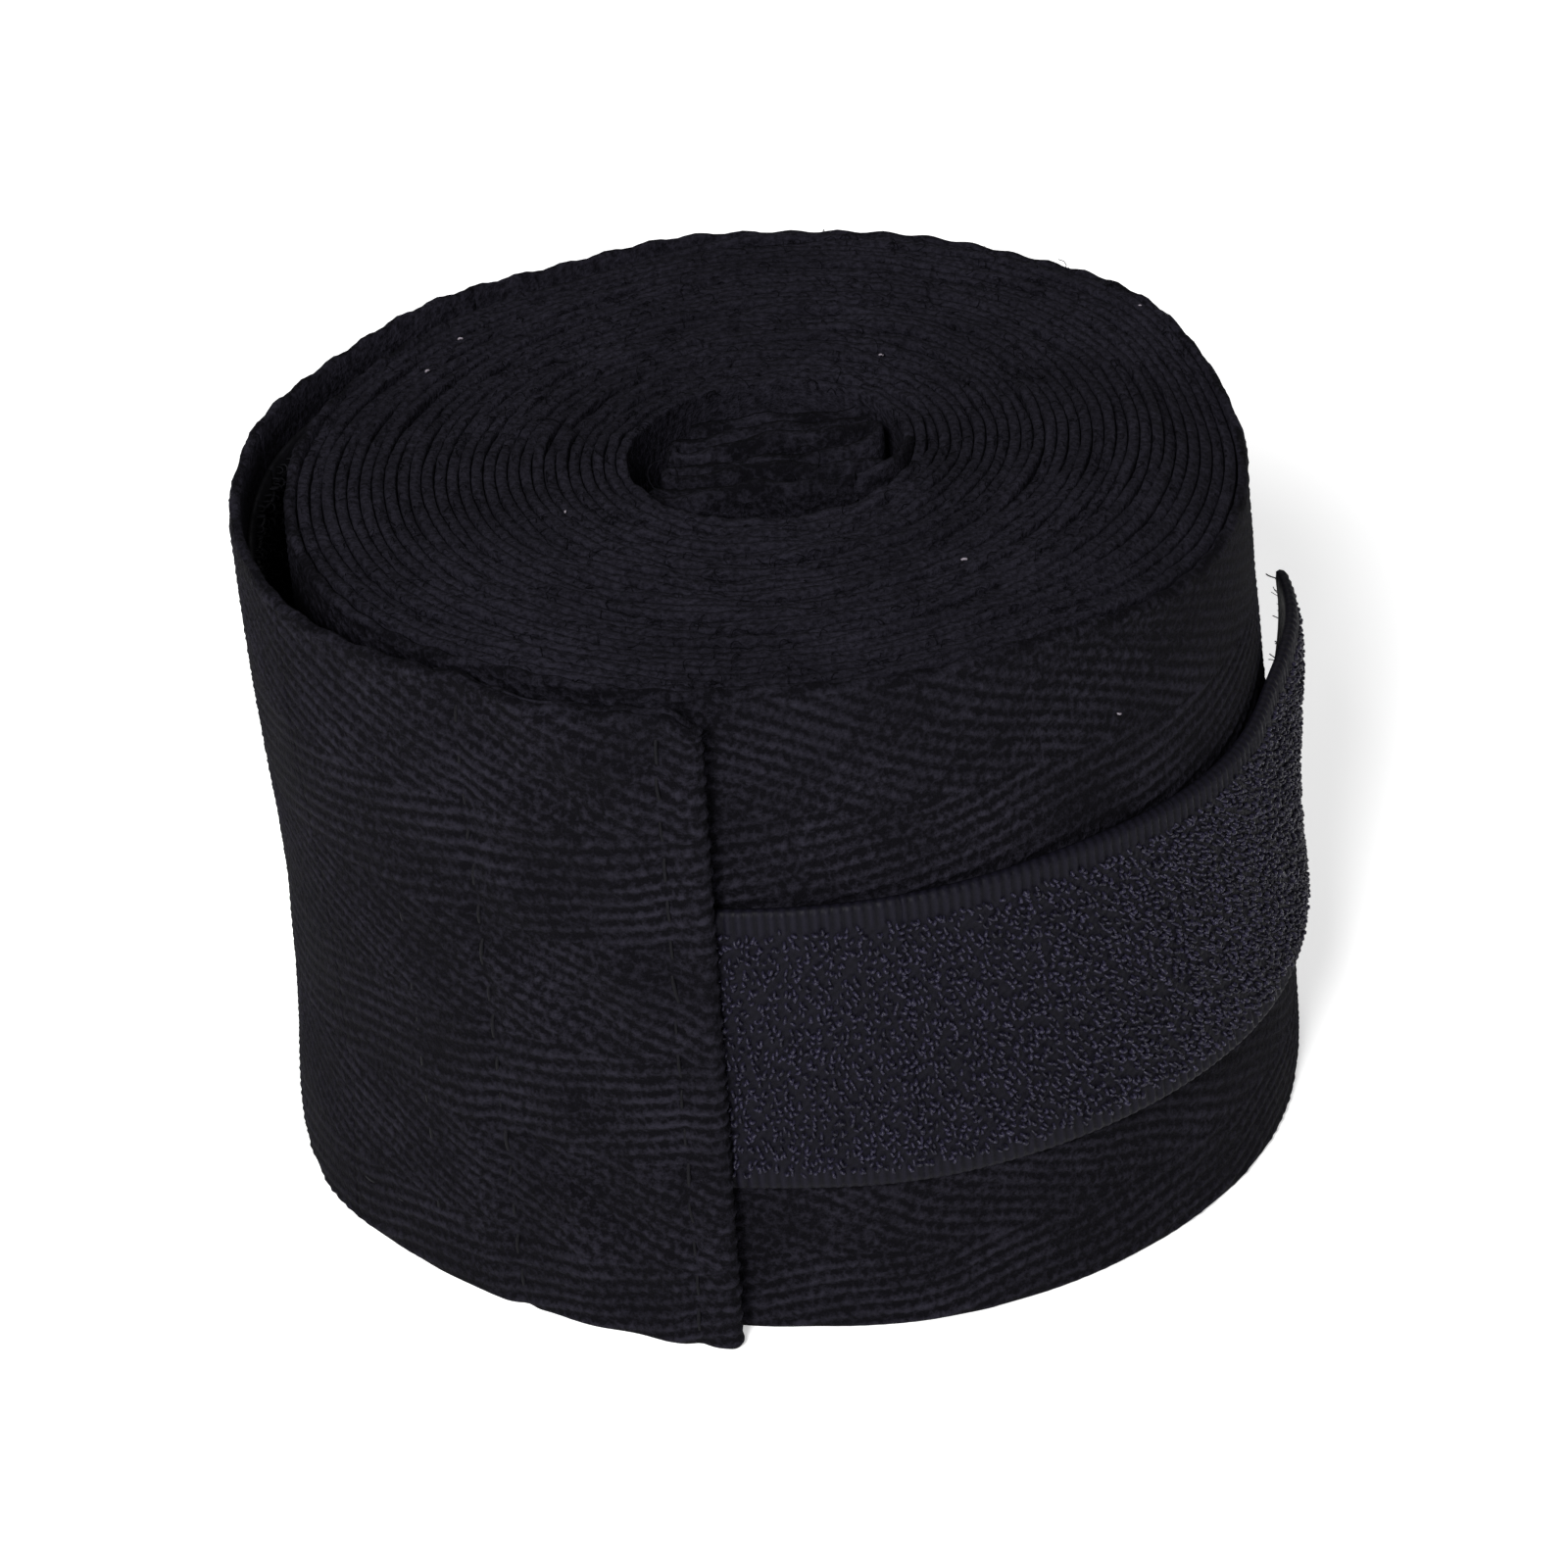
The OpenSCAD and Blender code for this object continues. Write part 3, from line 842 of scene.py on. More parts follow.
@once
def hook_polyamide(name):
    """Glossy moulded-looking threads of the hooks, a little uneven in tone."""
    paint = Paint(name, IOR=1.53, Specular_IOR_Level=0.14)
    tone = paint.noise(1100.0, 1.0)
    share = paint.spread(tone, 0.3, 0.7)
    dark = [0.35 * c for c in colours().hooks]
    return paint.finish(paint.mix(share, dark, colours().hooks), paint.spread(tone, 0.3, 0.7, 0.45, 0.3),
                        paint.bump(paint.noise(5200.0), 0.02 * MM, 0.4))


@once
def loop_pile(name):
    """Brushed loops of the patch behind the tail."""
    paint = Paint(name, IOR=1.5, Specular_IOR_Level=0.06)
    tone = paint.noise(900.0, 2.0)
    dark = [0.4 * c for c in colours().pile]
    colour = paint.mix(paint.spread(tone, 0.3, 0.7), dark, colours().pile)
    normal = paint.bump(paint.noise(3000.0), 0.08 * MM, 0.8)
    return paint.finish(colour, paint.spread(tone, 0.3, 0.7, 0.85, 0.6), normal)


@once
def sewing_thread(name):
    """Twisted black thread."""
    paint = Paint(name, IOR=1.5, Specular_IOR_Level=0.08)
    twist = paint.noise(2400.0, 1.0)
    dark = [0.5 * c for c in colours().thread]
    return paint.finish(paint.mix(paint.spread(twist, 0.3, 0.7), dark, colours().thread),
                        paint.spread(twist, 0.3, 0.7, 0.5, 0.7), paint.bump(twist, 0.05 * MM, 0.7))


@once
def tape_cotton(name):
    """Plain cotton tape of the thumb loop."""
    paint = Paint(name, IOR=1.45, Specular_IOR_Level=0.05)
    fuzz = paint.noise(2600.0, 2.0, 0.6)
    return paint.finish(paint.mix(fuzz, colours().cotton_shade, colours().cotton),
                        paint.spread(fuzz, 0.3, 0.7, 0.82, 0.95), paint.bump(fuzz, 0.1 * MM, 0.9))


@once
def pale_lint(name):
    """Specks of pale lint caught in the weave."""
    paint = Paint(name, IOR=1.45, Specular_IOR_Level=0.3)
    tone = paint.noise(900.0, 1.0)
    colour = paint.mix(tone, (0.10, 0.09, 0.11), (0.34, 0.30, 0.34))
    return paint.finish(colour, paint.spread(tone, 0, 1, 0.8, 0.9), paint.bump(tone, 0.05 * MM, 0.5))


@once
def studio_floor(name):
    """Plain pale floor."""
    paint = Paint(name, Specular_IOR_Level=0.1, Emission_Color=(1, 1, 1, 1), Emission_Strength=0.5)
    tone = paint.noise(2.0, 1.0)
    shade = [0.985 * c for c in colours().floor]
    return paint.finish(paint.mix(tone, shade, colours().floor), 0.9, paint.bump(tone, 0.01 * MM, 0.1))


# Operators

# The camera: its height angle, its turn to the right, its roll, its distance, lens and shift
VIEW_RISE = math.radians(32.2)
VIEW_ASIDE = math.radians(2.9)
VIEW_ROLL = math.radians(5.0)
VIEW_DISTANCE = 0.3555
VIEW_LENS = 115.9
VIEW_SHIFT = (-0.0072, -0.0169)

# The studio: half the floor's side, its drop under the roll, the light from all round, and the
# softboxes with their place, size in metres and power in watts
FLOOR_REACH = 2.5
FLOOR_DROP = 0.05 * MM
WORLD_LIGHT = 0.18
SOFTBOXES = (
    ("Front softbox", (-0.16, -0.60, 0.50), 0.24, 8.0),
    ("Rear softbox", (0.1, 0.6, 0.9), 0.8, 2.5),
)


class HANDWRAP_OT_stage(bpy.types.Operator):
    """Camera, floor and soft light"""

    bl_idname = "handwrap.stage"
    bl_label = "Camera and studio"

    def execute(self, context):
        scene = context.scene
        camera = bpy.data.cameras.new("View")
        camera.lens = VIEW_LENS
        camera.sensor_width = 36
        camera.shift_x, camera.shift_y = VIEW_SHIFT
        camera.clip_start = 0.01
        eye = bpy.data.objects.new("View", camera)
        scene.collection.objects.link(eye)
        target = Vector((0, 0, WIDTH / 2))
        level = math.cos(VIEW_RISE)
        eye.location = target + VIEW_DISTANCE * Vector((
            level * math.sin(VIEW_ASIDE), -level * math.cos(VIEW_ASIDE), math.sin(VIEW_RISE)))
        look = (target - eye.location).to_track_quat("-Z", "Y").to_matrix().to_4x4()
        roll = Matrix.Rotation(-VIEW_ROLL, 4, "Z")
        eye.matrix_world = Matrix.Translation(eye.location) @ look @ roll
        scene.camera = eye
        mesh = bpy.data.meshes.new("floor")
        corners = [(FLOOR_REACH * x, FLOOR_REACH * y, -FLOOR_DROP)
                   for x, y in ((-1, -1), (1, -1), (1, 1), (-1, 1))]
        mesh.from_pydata(corners, [], [(0, 1, 2, 3)])
        mesh.materials.append(studio_floor())
        floor = bpy.data.objects.new("floor", mesh)
        scene.collection.objects.link(floor)
        world = bpy.data.worlds.new("Studio")
        world.use_nodes = True
        world.node_tree.nodes["Background"].inputs[0].default_value = (1, 1, 1, 1)
        world.node_tree.nodes["Background"].inputs[1].default_value = WORLD_LIGHT
        scene.world = world
        scene.view_settings.view_transform = "Standard"
        for name, place, size, power in SOFTBOXES:
            light = bpy.data.lights.new(name, "AREA")
            light.shape = "DISK"
            light.size = size
            light.energy = power
            lamp = bpy.data.objects.new(name, light)
            lamp.location = place
            lamp.rotation_euler = (target - Vector(place)).to_track_quat("-Z", "Y").to_euler()
            scene.collection.objects.link(lamp)
        return {"FINISHED"}


# The outermost covered turn is seen where nothing lies on it, and starts at this angle
OUTER_START = 138.0
ALONG_STEP = 0.45 * MM


class HANDWRAP_OT_wound_turns(bpy.types.Operator):
    """The turns of webbing wound one on another"""

    bl_idname = "handwrap.wound_turns"
    bl_label = "Wound turns"

    def execute(self, context):
        outline = edge_outline("selvedge_outline")
        visible_from = 360 * (sizes().turns - 2) + OUTER_START
        for name, first, last, step in (
            ("webbing_inner_turns", 0, 360 * 9, 2.2),
            ("webbing_middle_turns", 360 * 9, 360 * 18, 1.6),
            ("webbing_outer_turns", 360 * 18, visible_from, 1.2),
        ):
            tree = winding_tree(webbing_cotton())
            count = int(math.ceil((last - first) / step)) + 1
            tree.set_inputs({
                "Start angle": math.radians(first),
                "Angle step": math.radians((last - first) / (count - 1)),
                "Steps": count,
                "Radius at angle zero": turn_radius(0) + sizes().thickness / 2,
                "Growth each turn": pitch(),
                "Outline": outline,
            })
            thing = tree.apply(name, bpy.data.meshes.new(name + "_seed"), webbing_cotton())
            face_outwards(thing)
            radius = (turn_radius(first) + turn_radius(last)) / 2 + sizes().thickness / 2
            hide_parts("inner_turns")
            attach(thing, "roll")
        bpy.data.objects.remove(outline)
        return {"FINISHED"}


def angles_between(first, last, step=ALONG_STEP):
    """Angles from first to last, no more than a step apart on the roll's outer side."""
    count = max(4, int(math.ceil(math.radians(last - first) * outer_radius() / step)))
    return np.linspace(first, last, count + 1)


class HANDWRAP_OT_outer_turn(bpy.types.Operator):
    """The covered outer turn, and the loose turn up to the first fold"""

    bl_idname = "handwrap.outer_turn"
    bl_label = "Outer turn"

    def execute(self, context):
        thickness = sizes().thickness
        for name, first, last in (("webbing_covered_turn", OUTER_START - 360, 0.0),
                                  ("webbing_loose_turn", 0.0, TAIL_ZONES[0][0])):
            angles = angles_between(first, last)

            def place(index, offset, up):
                angle = angles[index]
                lift = loose_lift(angle, up) * (angle > 0)
                raised = up + loose_raise(angle, up) * (angle > 0)
                return polar(rest_radius(angle) + thickness / 2 + lift + offset, angle, raised)

            along = np.radians(angles) * outer_radius()
            thing = strip_piece(name, place, along, 0, WIDTH, thickness, webbing_cotton(), herringbone,
                                edge_wave=selvedge_wave)
            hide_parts("outer_turn" if first == 0 else "inner_turns")
            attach(thing, "roll")
        return {"FINISHED"}


class HANDWRAP_OT_tail(bpy.types.Operator):
    """The loose tail from the first fold to the one behind the hem"""

    bl_idname = "handwrap.tail"
    bl_label = "Tail"

    def execute(self, context):
        thickness = sizes().thickness
        for zone, name, node in zip(TAIL_ZONES, ("webbing_tail_rear", "webbing_tail_middle"),
                                    ("tail_rear", "tail_middle")):
            angles = angles_between(zone[0], zone[1])

            def place(index, offset, up):
                angle = angles[index]
                radius = rest_radius(angle) + thickness / 2 + loose_lift(angle, up) + offset
                return polar(radius, angle, up + loose_raise(angle, up))

            along = np.radians(angles) * outer_radius()
            thing = strip_piece(name, place, along, 0, WIDTH, thickness, webbing_cotton(), herringbone,
                                edge_wave=selvedge_wave)
            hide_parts(node)
            bend_zone(thing, zone)
        return {"FINISHED"}


# The hem's two seams, back from its edge, the spacing of the stitches in each seam, and the lean of
# the edge in degrees
EDGE_SEAM = 2.0 * MM
REAR_SEAM = HEM_TURN - 2.0 * MM
STITCH_SPACING = 3.0 * MM
HEM_LEAN = 1.9


def hem_angle(angle, up):
    """The hem edge leans a little: its top is further round than its foot."""
    share = smooth((angle - 237) / 22)
    return angle + HEM_LEAN * share * (up / WIDTH - 0.5)


def hem_swell(back, up):
    """How far the hem's face stands off its plain place: puckers, seam grooves and creases."""
    seam = 0.0
    for at in (EDGE_SEAM, REAR_SEAM):
        dent = np.exp(-(((back - at) / (0.75 * MM)) ** 2))
        seam = seam - 0.32 * MM * dent * (0.75 + 0.25 * np.cos(TAU * up / (3 * MM)))
    between = window(back, 1.5 * MM, 3 * MM, 13 * MM, 3 * MM)
    pucker = (0.13 * between + 0.06) * MM * ripple(back, up, 21, 7 * MM)
    high = smooth((up - WIDTH + 9 * MM) / (6 * MM))
    top = 0.17 * MM * between * high * (1 + ripple(back, up, 3, 3 * MM))
    return seam + pucker + top + creases(back, up)


class HANDWRAP_OT_hem(bpy.types.Operator):
    """The hem: its face, the turn at the edge and the webbing turned under"""

    bl_idname = "handwrap.hem"
    bl_label = "Hem"

    def execute(self, context):
        thickness = sizes().thickness
        zone = TAIL_ZONES[2]
        face = angles_between(zone[0], HEM_EDGE, 0.38 * MM)
        bend = np.linspace(0, 180, 15)[1:-1]
        under = angles_between(HEM_EDGE - arc_angle(HEM_TURN), HEM_EDGE, 0.8 * MM)[::-1]
        angle = np.concatenate([face, np.full(len(bend), HEM_EDGE), under])
        turn = np.concatenate([np.zeros(len(face)), bend, np.full(len(under), 180.0)])
        between = (thickness + PLY_GAP) / 2
        along = np.radians(angle) * outer_radius()
        along[len(face):] = along[len(face) - 1] + np.cumsum(
            np.concatenate([np.full(len(bend), between * math.pi / (len(bend) + 1)),
                            np.full(len(under), HEM_TURN / len(under))]))

        def place(index, offset, up):
            a = angle[index]
            leaned = np.radians(hem_angle(a, up))
            tip = np.radians(turn[index])
            out = np.stack(np.broadcast_arrays(np.cos(leaned), np.sin(leaned)), -1)
            ahead = np.stack([-out[..., 1], out[..., 0]], -1)
            tip = np.broadcast_to(tip, leaned.shape)[..., None]
            normal = out * np.cos(tip) + ahead * np.sin(tip)
            back = np.radians(HEM_EDGE - a) * outer_radius()
            swell = hem_swell(back, up) * smooth((a - 214) / 12)
            core = rest_radius(a) + hem_lift() - PLY_GAP / 2 + swell
            lift = loose_lift(a, up) - hem_lift()
            flat = (core + lift)[..., None] * out + normal * (between + offset)[..., None]
            corner = 0.9 * MM * smooth((up - WIDTH + 2.2 * MM) / (2.2 * MM)) * smooth((a - 258.5) / 2.5)
            raised = up + loose_raise(a, up) - corner
            return np.concatenate([flat, np.broadcast_to(raised, leaned.shape)[..., None]], -1)

        thing = strip_piece("webbing_hem", place, along, 0, WIDTH, thickness, webbing_cotton(), herringbone,
                            edge_wave=selvedge_wave)
        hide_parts("hem_face", "hem_turned_end")
        bend_zone(thing, zone)
        return {"FINISHED"}


def strap_lift(angle, up):
    """How far the strap stands off the roll: its free end curls away, most at its upper corner."""
    share = smooth((angle - STRAP_MIDDLE) / (STRAP_END - STRAP_MIDDLE))
    free = smooth((angle - (STRAP_END - 27)) / 27)
    high = smooth((up - STRAP_LOW.z - 5 * MM) / (15 * MM))
    return STRAP_GAP + 0.1 * MM * share + free * (2.0 * MM * high - 0.2 * MM * (1 - high))


def strap_ground(along, up):
    """Relief of the strap's ground: ribs across both plain selvedges and a plain weave between."""
    edge = np.minimum(up - STRAP_LOW.z, STRAP_HIGH.z - up)
    plain = 1 - smooth((edge - 1.5 * MM) / (0.5 * MM))
    ribs = 0.5 + 0.5 * np.cos(TAU * along / (0.72 * MM))
    weave = 0.5 + 0.5 * np.cos(TAU * along / (0.8 * MM)) * np.cos(TAU * up / (0.8 * MM))
    relief = plain * ribs + (1 - plain) * weave * 0.7
    return relief, 0.2 * MM * relief


class HANDWRAP_OT_strap(bpy.types.Operator):
    """The hook strap's woven tape"""

    bl_idname = "handwrap.strap"
    bl_label = "Hook strap"

    def execute(self, context):
        thickness = sizes().strap_thickness
        names = ("strap_near_tape", "strap_middle_tape", "strap_tip_tape")
        nodes = (("strap_root", "strap_near"), ("strap_middle",), ("strap_tip",))
        for zone, name, stood in zip(strap_zones(), names, nodes):
            angles = angles_between(zone[0], zone[1], 0.19 * MM)

            def place(index, offset, up):
                angle = angles[index]
                radius = rest_radius(angle) + thickness / 2 + strap_lift(angle, up) + offset
                return polar(radius, angle, up)

            along = np.radians(angles) * outer_radius()
            thing = strip_piece(name, place, along, STRAP_LOW.z, STRAP_HIGH.z, thickness, strap_weave(),
                                strap_ground, step=0.24 * MM)
            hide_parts(*stood)
            bend_zone(thing, zone)
        return {"FINISHED"}


def surface_frame(angle, radius, up):
    """Points, outward and forward directions on the roll, for shapes that stand on it."""
    angle, radius, up = np.broadcast_arrays(angle, radius, up)
    turn = np.radians(angle)
    out = np.stack([np.cos(turn), np.sin(turn), np.zeros_like(turn)], -1)
    ahead = np.stack([-np.sin(turn), np.cos(turn), np.zeros_like(turn)], -1)
    points = np.stack([radius * out[..., 0], radius * out[..., 1], up], -1)
    return points.reshape(-1, 3), out.reshape(-1, 3), ahead.reshape(-1, 3)


def any_way(rng, ahead):
    """A random direction on the strap's or the patch's face, one for each point."""
    spin = rng.uniform(0, TAU, len(ahead))[:, None]
    return ahead * np.cos(spin) + np.array([0, 0, 1.0]) * np.sin(spin)


class HANDWRAP_OT_hooks(bpy.types.Operator):
    """The strap's field of small hooks"""

    bl_idname = "handwrap.hooks"
    bl_label = "Hooks"

    def execute(self, context):
        rng = np.random.default_rng(31)
        gap = sizes().hook_pitch
        tall = sizes().hook_height
        shape = swept_shape((0, 0, -0.1 * MM), (0, 0, tall * 1.2), (0.3 * MM, 0, tall * 1.3),
                            (0.27 * MM, 0, tall * 0.4), 0.11 * MM, 5, 4)
        names = ("strap_near_hook_field", "strap_middle_hook_field", "strap_tip_hook_field")
        nodes = ("strap_near_hooks", "strap_middle_hooks", "strap_tip_hooks")
        low, high = STRAP_LOW.z + 1.5 * MM, STRAP_HIGH.z - 1.5 * MM
        for zone, name, node in zip(strap_zones(), names, nodes):
            first = max(zone[0], HEM_EDGE + 1.0)
            last = zone[1] - (1.2 if zone[1] == STRAP_END else 0.0)
            columns = np.arange(first, last, arc_angle(gap))
            rows = np.arange(low, high, gap * 0.94)
            angle, up = np.meshgrid(columns, rows, indexing="ij")
            angle = angle + arc_angle(gap) * (0.5 * (np.arange(len(rows)) % 2)[None, :])
            angle = np.clip(angle + rng.normal(0, arc_angle(gap) * 0.16, angle.shape), first, last)
            up = up + rng.normal(0, gap * 0.16, up.shape)
            kept = rng.random(up.shape) > 0.05
            angle, up = angle[kept], up[kept]
            radius = rest_radius(angle) + sizes().strap_thickness + strap_lift(angle, up)
            points, out, ahead = surface_frame(angle, radius, up)
            aim = any_way(rng, ahead)
            lean = out + 0.22 * rng.normal(0, 1, out.shape)
            thing = scatter(name, shape, hook_polyamide(), points, lean, aim)
            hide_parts(node)
            bend_zone(thing, zone)
        return {"FINISHED"}


def stitch_shape():
    """One stitch, arched above the cloth with both ends in it."""
    half = sizes().stitch_length / 2
    return swept_shape((-half, 0, -0.12 * MM), (-half * 0.7, 0, 0.3 * MM), (half * 0.7, 0, 0.3 * MM),
                       (half, 0, -0.12 * MM), sizes().thread / 2, 6, 8)


class HANDWRAP_OT_hem_seams(bpy.types.Operator):
    """The two upright seams of the hem"""

    bl_idname = "handwrap.hem_seams"
    bl_label = "Hem seams"

    def execute(self, context):
        for name, node, back in (("hem_edge_stitches", "hem_edge_seam", EDGE_SEAM),
                                 ("hem_rear_stitches", "hem_rear_seam", REAR_SEAM)):
            angle = HEM_EDGE - arc_angle(back)
            up = np.arange(2.2 * MM, WIDTH - 1.5 * MM, STITCH_SPACING)
            rng = np.random.default_rng(int(back / MM * 10))
            leaned = hem_angle(angle, up) + rng.normal(0, 0.12, up.shape)
            outer = rest_radius(angle) + hem_lift() + sizes().thickness + hem_swell(back, up) - 0.12 * MM
            under_strap = rest_radius(angle) + STRAP_GAP - 0.04 * MM
            under_hem = rest_radius(angle) + hem_lift() - PLY_GAP - sizes().thickness
            on_strap = (up > STRAP_LOW.z) & (up < STRAP_HIGH.z)
            inner = np.where(on_strap, under_strap, under_hem)
            front = surface_frame(leaned, outer, up)
            rear = surface_frame(leaned, inner, up)
            points = np.concatenate([front[0], rear[0]])
            out = np.concatenate([front[1], -rear[1]])
            aim = np.array([0, 0, 1.0]) + 0.06 * rng.normal(0, 1, points.shape)
            thing = scatter(name, stitch_shape(), sewing_thread(), points, out, aim)
            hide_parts(node)
            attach(thing, "hem")
        return {"FINISHED"}


# The patch's cloth, the inset of its seam and the pitch of its loops
PATCH_BASE = 0.45 * MM
PATCH_SEAM = 1.5 * MM
PILE_PITCH = 0.95 * MM

# How far the patch's ends stay from the hinges.
PATCH_REAR_INSET = 1.6 * MM
PATCH_FRONT_INSET = 1.1 * MM


def patch_middle(angle, up):
    """Radius of the middle of the patch's cloth, which lies on the tail's inner face."""
    return rest_radius(angle) + loose_lift(angle, up) - PLY_GAP - PATCH_BASE / 2


def patch_pile(name, start, end, rng):
    """The brushed loops on one stretch of the patch."""
    low, high = PATCH_LOW.z, PATCH_HIGH.z
    columns = np.arange(start, end, arc_angle(PILE_PITCH))
    rows = np.arange(low + 0.5 * MM, high, PILE_PITCH)
    angle, up = np.meshgrid(columns, rows, indexing="ij")
    angle = np.clip(angle + rng.normal(0, 0.35, angle.shape), start, end).ravel()
    up = np.clip(up + rng.normal(0, 0.2 * MM, up.shape), low, high).ravel()
    radius = patch_middle(angle, up) - PATCH_BASE / 2
    points, out, ahead = surface_frame(angle, radius, up + loose_raise(angle, up))
    loop = swept_shape((-0.25 * MM, 0, -0.08 * MM), (-0.5 * MM, 0, 0.62 * MM),
                       (0.5 * MM, 0, 0.62 * MM), (0.25 * MM, 0, -0.08 * MM), 0.07 * MM, 4, 5)
    return scatter(name, loop, loop_pile(), points, -out, any_way(rng, ahead))


def patch_stitches(name, start, end, crossings):
    """The seam on one stretch of the patch: along both sides, and upright at the crossings' angles."""
    low, high = PATCH_LOW.z, PATCH_HIGH.z
    rows = []
    for height in (low + PATCH_SEAM, high - PATCH_SEAM):
        angle = np.arange(start + arc_angle(1.5 * MM), end - arc_angle(1.0 * MM), arc_angle(STITCH_SPACING))
        rows.append((angle, np.full(len(angle), height), False))
    for crossing in crossings:
        up = np.arange(low + 3 * MM, high - 2 * MM, STITCH_SPACING)
        rows.append((np.full(len(up), crossing), up, True))
    points, outs, aims = [], [], []
    for angle, up, upright in rows:
        tail_face = rest_radius(angle) + loose_lift(angle, up) + sizes().thickness - 0.28 * MM
        patch_face = patch_middle(angle, up) - PATCH_BASE / 2 - 0.02 * MM
        for side, radius in ((1, tail_face), (-1, patch_face)):
            place, out, ahead = surface_frame(angle, radius, up + loose_raise(angle, up))
            points.append(place)
            outs.append(side * out)
            aims.append(np.broadcast_to([0, 0, 1.0], ahead.shape) if upright else ahead)
    return scatter(name, stitch_shape(), sewing_thread(), np.concatenate(points),
                   np.concatenate(outs), np.concatenate(aims))


class HANDWRAP_OT_loop_patch(bpy.types.Operator):
    """The loop patch behind the tail, its pile and its stitches"""

    bl_idname = "handwrap.loop_patch"
    bl_label = "Loop patch"

    def execute(self, context):
        rng = np.random.default_rng(17)
        first = TAIL_REAR + arc_angle(PATCH_REAR_INSET)
        last = TAIL_HEM - arc_angle(PATCH_FRONT_INSET)
        low, high = PATCH_LOW.z, PATCH_HIGH.z
        stretches = (
            ("loop_patch_rear", ("loop_patch_rear", "patch_seam_rear"), [first + arc_angle(PATCH_SEAM)]),
            ("loop_patch_middle", ("loop_patch_front", "patch_seam_front"), []),
            ("loop_patch_front", (), [last - arc_angle(PATCH_SEAM)]),
        )
        for zone, (name, nodes, crossings) in zip(TAIL_ZONES, stretches):
            start, end = max(first, zone[0]), min(last, zone[1])
            angles = angles_between(start, end, 0.6 * MM)

            def place(index, offset, up):
                angle = angles[index]
                return polar(patch_middle(angle, up) + offset, angle, up + loose_raise(angle, up))

            along = np.radians(angles) * outer_radius()
            cloth = strip_piece(name + "_cloth", place, along, low, high, PATCH_BASE, loop_pile(),
                                step=1.2 * MM)
            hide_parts(*nodes)
            pile = patch_pile(name + "_pile", start, end, rng)
            seam = patch_stitches(name + "_stitches", start, end, crossings)
            for thing in (cloth, pile, seam):
                bend_zone(thing, zone)
        return {"FINISHED"}


def walk(points, step):
    """Even steps along a plan path: how far along, the points, and softened unit normals on its left."""
    points = np.asarray(points, float)
    run = np.concatenate([[0], np.cumsum(np.linalg.norm(np.diff(points, axis=0), axis=1))])
    count = int(run[-1] / step)
    at = np.linspace(0, run[-1], count + 1)
    path = np.stack([np.interp(at, run, points[:, i]) for i in (0, 1)], -1)
    ahead = np.gradient(path, axis=0)
    ahead /= np.linalg.norm(ahead, axis=1)[:, None]
    kernel = np.ones(5) / 5
    normal = np.stack([-ahead[:, 1], ahead[:, 0]], -1)
    padded = np.pad(normal, ((2, 2), (0, 0)), mode="edge")
    normal = np.stack([np.convolve(padded[:, i], kernel, "valid") for i in (0, 1)], -1)
    return at, path, normal / np.linalg.norm(normal, axis=1)[:, None]


def to_and_fro(runs, first_y, step, widths, first_side):
    """A plan path folded to and fro: runs from side to side joined by half circles."""
    points = []
    side = first_side
    for i in range(runs):
        y = first_y + i * step
        end = side * widths[i]
        start = points[-1][0] if points else -side * widths[i]
        for share in np.linspace(0, 1, 24)[1:]:
            points.append((start + (end - start) * share, y))
        if i < runs - 1:
            for turn in np.radians(np.linspace(-90, 90, 9)[1:]):
                middle = y + step / 2
                points.append((end + side * step / 2 * math.cos(turn), middle + step / 2 * math.sin(turn)))
        side = -side
    return points


class HANDWRAP_OT_core(bpy.types.Operator):
    """The webbing's inner end, folded to and fro in the core"""

    bl_idname = "handwrap.core"
    bl_label = "Folded core"

    def execute(self, context):
        thickness = sizes().thickness
        fold = 1.04 * MM
        depth = 4 * fold
        start = turn_radius(0) + thickness / 2
        link = start - depth
        arc = [(link + depth * math.cos(math.radians(a)), depth * math.sin(math.radians(a)))
               for a in np.linspace(0, -90, 30)]
        widths = np.array([6.6, 6.3, 5.9, 6.2, 5.6, 5.9, 5.0]) * MM
        runs = to_and_fro(7, -depth, fold, widths, -1)
        along, path, normal = walk(arc + runs, 0.45 * MM)
        inside = smooth((along - 8 * MM) / (6 * MM))
        bend = 0.30 * MM * ripple(path[:, 0], 0 * along, 41, 6 * MM) * inside
        path = path + np.stack([np.zeros_like(bend), bend], -1)
        uneven = 0.5 * MM * ripple(along, 0 * along, 43, 17 * MM)
        sink = (1.3 * MM + uneven) * smooth(along / (14 * MM))

        def place(index, offset, up):
            flat = path[index] + normal[index] * offset[..., None]
            fan = smooth((up - LOOP_HIGH.z) / (15 * MM)) * inside[index]
            spread = np.stack([0.12 * flat[..., 0] * fan, 0.8 * (flat[..., 1] + depth) * fan], -1)
            flat = flat + spread
            lowered = up - sink[index] * np.clip(up / WIDTH, 0, 1) ** 3
            return np.concatenate([flat, np.broadcast_to(lowered, offset.shape)[..., None]], -1)

        thing = strip_piece("webbing_core_fold", place, along, 0, WIDTH, thickness * 0.92, webbing_cotton(),
                            herringbone, step=0.5 * MM, edge_wave=selvedge_wave)
        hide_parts("core_fold")
        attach(thing, "roll")
        return {"FINISHED"}


